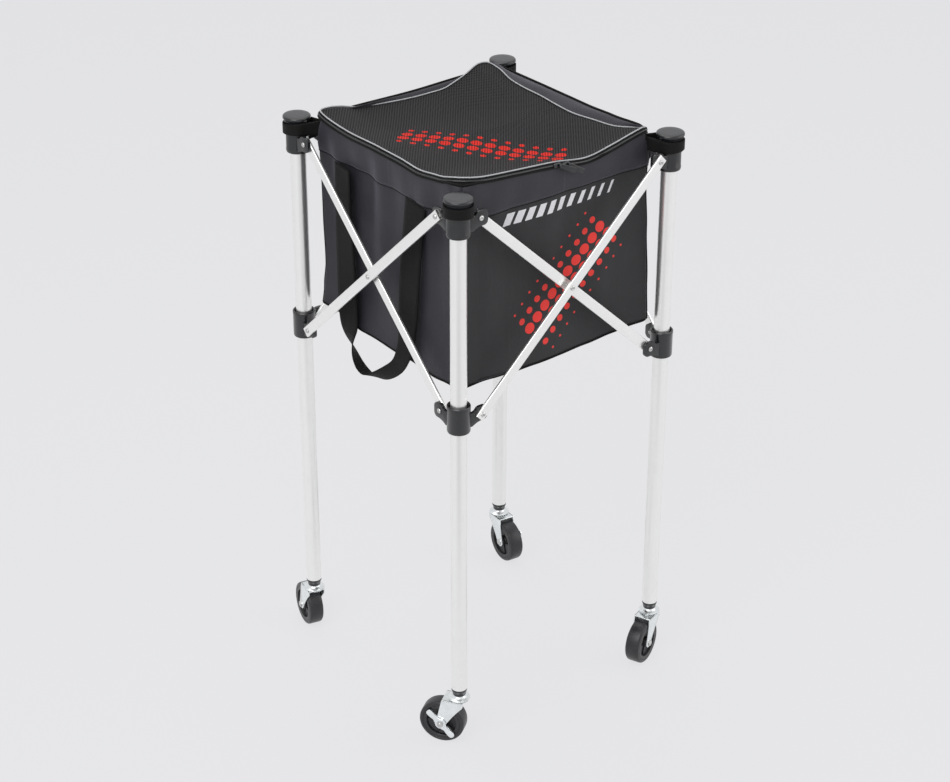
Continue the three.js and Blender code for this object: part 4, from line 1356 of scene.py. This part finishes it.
# The lid's outline in runs, in millimetres: X, Y and height over RIM. It starts at the front leg's corner.
LID_LOOP = (
    ("front", [(-166.7, -166.7, 16.8), (-153.1, -175.8, 16.6), (-137, -179, 15.2), (-81.3, -179, 10.4),
               (-9.6, -179, 4.5), (53.3, -179, -3.8), (101.2, -179, 3.6), (140, -179.5, 12.5),
               (162, -178.8, 16)]),
    ("right near", [(172, -173, 12), (176, -150, 3.6), (163.6, -115.9, -2), (156.8, -73.8, -3),
                    (150, -34.8, -3)]),
    ("right far", [(149.3, 0, -1.3), (151.4, 46.5, 1), (150.6, 88.7, 3), (149.7, 117.9, 7),
                   (154.5, 152, 13.5)]),
    ("back", [(150.5, 176, 18), (137, 178.5, 19.2), (123.8, 175.3, 18), (100.7, 170.1, 11), (77.6, 167, 5),
              (57.5, 166.9, -1), (28.4, 168.8, -3), (-8.7, 169.7, -3), (-73.8, 177, -1), (-99.9, 179.5, 1),
              (-129.9, 181.5, 9), (-152, 181, 13)]),
    ("left far", [(-173, 174, 15), (-178.5, 158, 13.6), (-179, 97.9, 7.3), (-179, 26.8, 7.8)]),
    ("left near", [(-179, 0, 7.4), (-179, -38.1, 6.8), (-179, -82, 4.3), (-179, -118, 9),
                   (-178.8, -139, 12.2), (-175.8, -153.1, 15.4)]),
)
LID_RUNS = {}
LID_HALF = 0.179


def blended(a, b, low, high, at):
    return a + (b - a) * ((at - low) / (high - low))


def lid_runs():
    """Smooth runs of (length so far, point) between the lid's corners and the two ends of its crease."""
    if LID_RUNS:
        return LID_RUNS
    loop = [(name, Vector(p) / 1000) for name, stops in LID_LOOP for p in stops]
    points = {}
    for start, (name, _) in enumerate(loop):
        four = [loop[(start + k) % len(loop)][1] for k in (-1, 0, 1, 2)]
        knots = [0.0]
        for a, b in zip(four, four[1:]):
            knots.append(knots[-1] + (b - a).length ** 0.5)
        for step in range(12):
            at = knots[1] + (knots[2] - knots[1]) * step / 12
            level = four
            for reach in (1, 2):
                level = [blended(level[i], level[i + 1], knots[i], knots[i + reach], at)
                         for i in range(4 - reach)]
            point = blended(*level, knots[1], knots[2], at)
            points.setdefault(name, []).append(point + Vector((0, 0, RIM)))
    names = [name for name, _ in LID_LOOP]
    for name, after in zip(names, names[1:] + names[:1]):
        run = points[name] + [points[after][0]]
        far = [0.0]
        for a, b in zip(run, run[1:]):
            far.append(far[-1] + (b - a).length)
        LID_RUNS[name] = far, run
    return LID_RUNS


def on_run(name, share):
    """A point on one run of the lid's outline, at a share of its length."""
    far, run = lid_runs()[name]
    at = share * far[-1]
    place = min(max(bisect.bisect_right(far, at) - 1, 0), len(run) - 2)
    return blended(run[place], run[place + 1], far[place], far[place + 1], at)


def half_point(way, u, v):
    """A point of one half of the lid: v runs from the crease at 0 to the outer edge at 1."""
    if way < 0:
        edge, left, right = on_run("front", u), on_run("left near", v), on_run("right near", 1 - v)
        ends = on_run("front", 0), on_run("front", 1)
    else:
        edge, left, right = on_run("back", 1 - u), on_run("left far", 1 - v), on_run("right far", v)
        ends = on_run("back", 1), on_run("back", 0)
    first, last = on_run("left near", 0), on_run("right far", 0)
    point = first.lerp(last, u) * (1 - v) + edge * v + left * (1 - u) + right * u
    point -= (first * (1 - u) + last * u) * (1 - v) + (ends[0] * (1 - u) + ends[1] * u) * v
    across, deep = 1 - (2 * u - 1) ** 2, 1 - v * v
    sag = settings("ball_cart_lid").sag * across * deep
    pulls = 0.0016 * math.sin(9.0 * u - 5.0 * v * way) * across * v * (1 - v)
    pulls += 0.0009 * math.sin(14.0 * u * v + 1.0) * across * v * (1 - v)
    point.z += pulls - sag
    return point


def half_outline(way):
    """One half's outer edge from the crease's left end to its right one, as (point, way out) pairs."""
    near = way < 0
    names = ("left near", "front", "right near") if near else ("left far", "back", "right far")
    start, end = (0, 1) if near else (1, 0)
    points = []
    for name, count in zip(names, (60, 120, 60)):
        for step in range(count + name.startswith("right")):
            points.append(on_run(name, start + (end - start) * step / count))
    made = []
    for number, point in enumerate(points):
        run = points[min(number + 1, len(points) - 1)] - points[max(number - 1, 0)]
        out = Vector((run.y, -run.x, 0)).normalized() * -way
        made.append((point, out))
    return made


class CART_OT_lid(Operator):
    """Mesh lid in two halves, with piping, zip and hinge tape"""

    bl_idname = "ball_cart.lid"
    bl_label = "Lid"

    def execute(self, context):
        lid = settings("ball_cart_lid")
        mesh, piping, webbing = lid_material(), piping_material(), webbing_material()
        metal = moulding_material()
        for name, way in (("front", -1), ("back", 1)):
            def place(u, v, way=way):
                return half_point(way, u, v)

            made = sheet_of(f"lid_mesh_{name}", 110, lid.rows, place, (0.340, LID_HALF), mesh)
            self.lay_map(made)
            if way < 0:
                made.data.flip_normals()
            thicken(made, 0.0012, -1)
            outline = half_outline(way)
            pieces = []
            for kind, rise, away, radius, material, slot in (
                    ("piping", 0.0014, 0.0004, 0.0011, piping, "lid_mesh"),
                    ("zip", -0.0030, 0.0034, 0.0014, metal, "webbing"),
                    ("welt", -0.0066, 0.0044, 0.0011, webbing, "webbing")):
                line = [point + UP * rise + out * away for point, out in outline]
                pieces.append((cord_of(f"lid_{kind}_{name}", line, radius, material), slot))
            pieces.append((self.tape(f"lid_tape_{name}", outline, webbing), "webbing"))
            for piece, slot in [(made, "lid_mesh"), *pieces]:
                carry(piece, f"lid_{name}", slot, f"lid_{name}")
                fold_up(piece, ALONG_X)
        self.flaps(webbing)
        self.sliders(metal)
        return {"FINISHED"}

    def lay_map(self, piece):
        """Both halves share one map, in metres from the lid's front left corner."""
        for spot, corner in zip(piece.data.uv_layers["cloth"].data, piece.data.loops):
            place = piece.data.vertices[corner.vertex_index].co
            spot.uv = (place.x + LID_HALF, place.y + LID_HALF)

    def tape(self, name, outline, webbing):
        count = len(outline) - 1

        def place(u, v):
            step = u * count
            low = min(int(step), count - 1)
            (point, out), (after, way_out) = outline[low], outline[low + 1]
            out = out.lerp(way_out, step - low)
            point = point.lerp(after, step - low)
            return point + out * (0.0018 + 0.0026 * v) - UP * (0.0005 + 0.0064 * v)

        made = sheet_of(name, count, 3, place, (0.7, 0.007), webbing)
        return thicken(made, 0.0008, 0)

    def flaps(self, webbing):
        """The soft tapes between the piping and the rim on the two back sides."""
        cloth = cloth_material()
        half, out_to = 0.1745, 0.1765
        for name, body, side, axis, slot, node in (
                ("right_flap", "leg_right", "right_back", ALONG_Y, "bag_cloth", "bag"),
                ("hinge_flap", "lid_tape", "back_left", ALONG_X, "webbing", "lid_hinge_tape")):
            number = SIDES.index(side)
            turn = corner_turn(number)

            def place(u, v, side=side, turn=turn, number=number):
                along = (u - 0.5) * 2 * half
                rim = turn @ Vector((along, -out_to, rim_height(side, along) - 0.001))
                if side == "back_left":
                    inner = on_run("back", u)
                elif u < 0.5:
                    inner = on_run("right near", u * 2)
                else:
                    inner = on_run("right far", u * 2 - 1)
                point = rim.lerp(inner - Vector((0, 0, 0.0030)), v)
                point.z += 0.0034 * math.sin(math.pi * v) * (1 + 0.35 * math.sin(u * 19 + number))
                return point

            made = sheet_of(name, 90, 10, place, (0.35, 0.024), cloth)
            thicken(made, 0.0012, 0)
            carry(made, body, slot, node)
            fold_up(made, axis)

    def sliders(self, metal):
        """Two zip sliders side by side, their pullers lying over the hem."""
        bm = bmesh.new()
        for share, swing in ((0.470, 1.14), (0.520, 1.00)):
            at = on_run("front", share) + Vector((0, -0.0042, -0.0028))
            body = rounded_box((0.0125, 0.0052, 0.0060), 0.0014, 3)
            add_to(bm, moved(body, Matrix.Translation(at)))
            ring = turned([(0.0022, -0.0007), (0.0034, -0.0007), (0.0034, 0.0007), (0.0022, 0.0007)], 20)
            eye = Matrix.Translation(at + Vector((0.002, -0.0036, 0)))
            add_to(bm, moved(ring, eye @ Matrix.Rotation(math.pi / 2, 4, "Y")))
            points = [(-0.0032, 0), (0.0032, 0), (0.0046, -0.0290), (-0.0046, -0.0290)]
            pull = rounded_plate(points, -0.0010, 0.0010, [(0.0014, 3)] * 4, 0.0004)
            moved(pull, Matrix.Translation(at + Vector((0.002, -0.0054, 0.0004))) @
                  Matrix.Rotation(-swing, 4, "Y") @ Matrix.Rotation(-0.16, 4, "X"))
            add_to(bm, pull)
        piece = object_from(bm, "zip_sliders", metal)
        carry(piece, "lid_front", "lid_mesh", "lid_front")
        fold_up(piece, ALONG_X)


# ---------------------------------------------------------------- straps


class CART_OT_straps(Operator):
    """Long webbing straps that hang from the hem on two sides"""

    bl_idname = "ball_cart.straps"
    bl_label = "Carrying straps"

    def execute(self, context):
        webbing = webbing_material()
        for name, number, body, node in (("left", 3, "leg_front", "carry_strap_left"),
                                         ("right", 1, "leg_right", "carry_strap_right")):
            path = self.path()
            count = len(path) - 1

            def place(u, v, number=number):
                step = u * count
                low = min(int(step), count - 1)
                share = step - low
                centre = path[low][0].lerp(path[low + 1][0], share)
                across = path[low][1].lerp(path[low + 1][1], share).normalized()
                width = path[low][2] + (path[low + 1][2] - path[low][2]) * share
                return corner_turn(number) @ (centre + across * (v - 0.5) * width)

            made = sheet_of(f"strap_{name}", 190, 8, place, (0.95, 0.047), webbing)
            thicken(made, 0.0016, 0)
            carry(made, body, "webbing", node)
            fold_up(made, ALONG_Y)
        return {"FINISHED"}

    def path(self):
        """Centre line, width direction and width, drawn on the front right side.

        The stops are X, Y, height over RIM, twist in degrees and width in millimetres. The width
        halves at the grip, as if the webbing were folded double there.
        """
        stops = [
            (-0.1010, -0.1846, -0.0476, 172, 47), (-0.1008, -0.1850, -0.1010, 173, 47),
            (-0.1008, -0.1856, -0.1500, 176, 47), (-0.0990, -0.1862, -0.1990, 179, 47),
            (-0.0965, -0.1870, -0.2600, 182, 47), (-0.0925, -0.1885, -0.3040, 180, 46),
            (-0.0890, -0.1895, -0.3250, 168, 42), (-0.0810, -0.1900, -0.3440, 143, 32),
            (-0.0700, -0.1900, -0.3610, 120, 25), (-0.0560, -0.1900, -0.3715, 108, 24),
            (-0.0370, -0.1900, -0.3745, 112, 24), (-0.0110, -0.1900, -0.3640, 136, 24),
            (0.0150, -0.1900, -0.3465, 158, 24), (0.0350, -0.1900, -0.3290, 170, 25),
            (0.0490, -0.1900, -0.3080, 177, 30), (0.0580, -0.1895, -0.2800, 180, 38),
            (0.0620, -0.1890, -0.2400, 180, 44), (0.0655, -0.1880, -0.1850, 180, 47),
            (0.0690, -0.1868, -0.1400, 180, 47), (0.0735, -0.1856, -0.0960, 180, 47),
            (0.0790, -0.1846, -0.0476, 180, 47)]
        for number, (x, y, z, twist, width) in enumerate(stops):
            clear = 0.020 * max(math.sin(math.radians(twist)), 0) * (z > -0.32)
            stops[number] = (x, y - clear, RIM + z, twist, width / 1000)
        path = []
        count = len(stops) - 1
        for index in range(count):
            a, b = stops[max(index - 1, 0)], stops[index]
            c, d = stops[index + 1], stops[min(index + 2, count)]
            for step in range(8):
                t = step / 8
                path.append([0.5 * ((2 * q) + (r - p) * t + (2 * p - 5 * q + 4 * r - s) * t * t
                                    + (3 * q - p - 3 * r + s) * t ** 3) for p, q, r, s in zip(a, b, c, d)])
        path.append(list(stops[-1]))
        made = []
        for place, (x, y, z, twist, width) in enumerate(path):
            before, after = path[max(place - 1, 0)], path[min(place + 1, len(path) - 1)]
            run = Vector([q - p for p, q in zip(before[:3], after[:3])]).normalized()
            flat = run.cross(Vector((0, -1, 0))).normalized()
            out = flat.cross(run).normalized()
            turn = math.radians(twist)
            made.append((Vector((x, y, z)), flat * math.cos(turn) + out * math.sin(turn), width))
        return made


# ---------------------------------------------------------------- panel and registration


class CART_PT_panel(Panel):
    """Lists the cart's sizes, colours and build steps"""

    bl_idname = "CART_PT_panel"
    bl_label = "Folding Ball Cart"
    bl_space_type = "VIEW_3D"
    bl_region_type = "UI"
    bl_category = "Ball Cart"

    def draw(self, context):
        for kind, group in GROUPS_OF_SETTINGS.items():
            box = self.layout.box()
            for name in group.__annotations__:
                box.prop(getattr(context.scene, kind), name)
        for step in STEPS:
            self.layout.operator(step.bl_idname)


GROUPS_OF_SETTINGS = {
    "ball_cart_stage": CartStage,
    "ball_cart_frame": CartFrame,
    "ball_cart_casters": CartCasters,
    "ball_cart_bag": CartBag,
    "ball_cart_lid": CartLid,
}
STEPS = (CART_OT_stage, CART_OT_legs, CART_OT_mouldings, CART_OT_bars, CART_OT_casters,
         CART_OT_bag, CART_OT_lid, CART_OT_straps)


def register():
    for group in GROUPS_OF_SETTINGS.values():
        bpy.utils.register_class(group)
    for step in (*STEPS, CART_PT_panel):
        bpy.utils.register_class(step)
    for kind, group in GROUPS_OF_SETTINGS.items():
        setattr(bpy.types.Scene, kind, PointerProperty(type=group))


def unregister():
    for kind in GROUPS_OF_SETTINGS:
        delattr(bpy.types.Scene, kind)
    for step in (*STEPS, CART_PT_panel):
        bpy.utils.unregister_class(step)
    for group in GROUPS_OF_SETTINGS.values():
        bpy.utils.unregister_class(group)


def main():
    register()
    for step in STEPS:
        group, name = step.bl_idname.split(".")
        getattr(getattr(bpy.ops, group), name)()


if __name__ == "__main__":
    main()
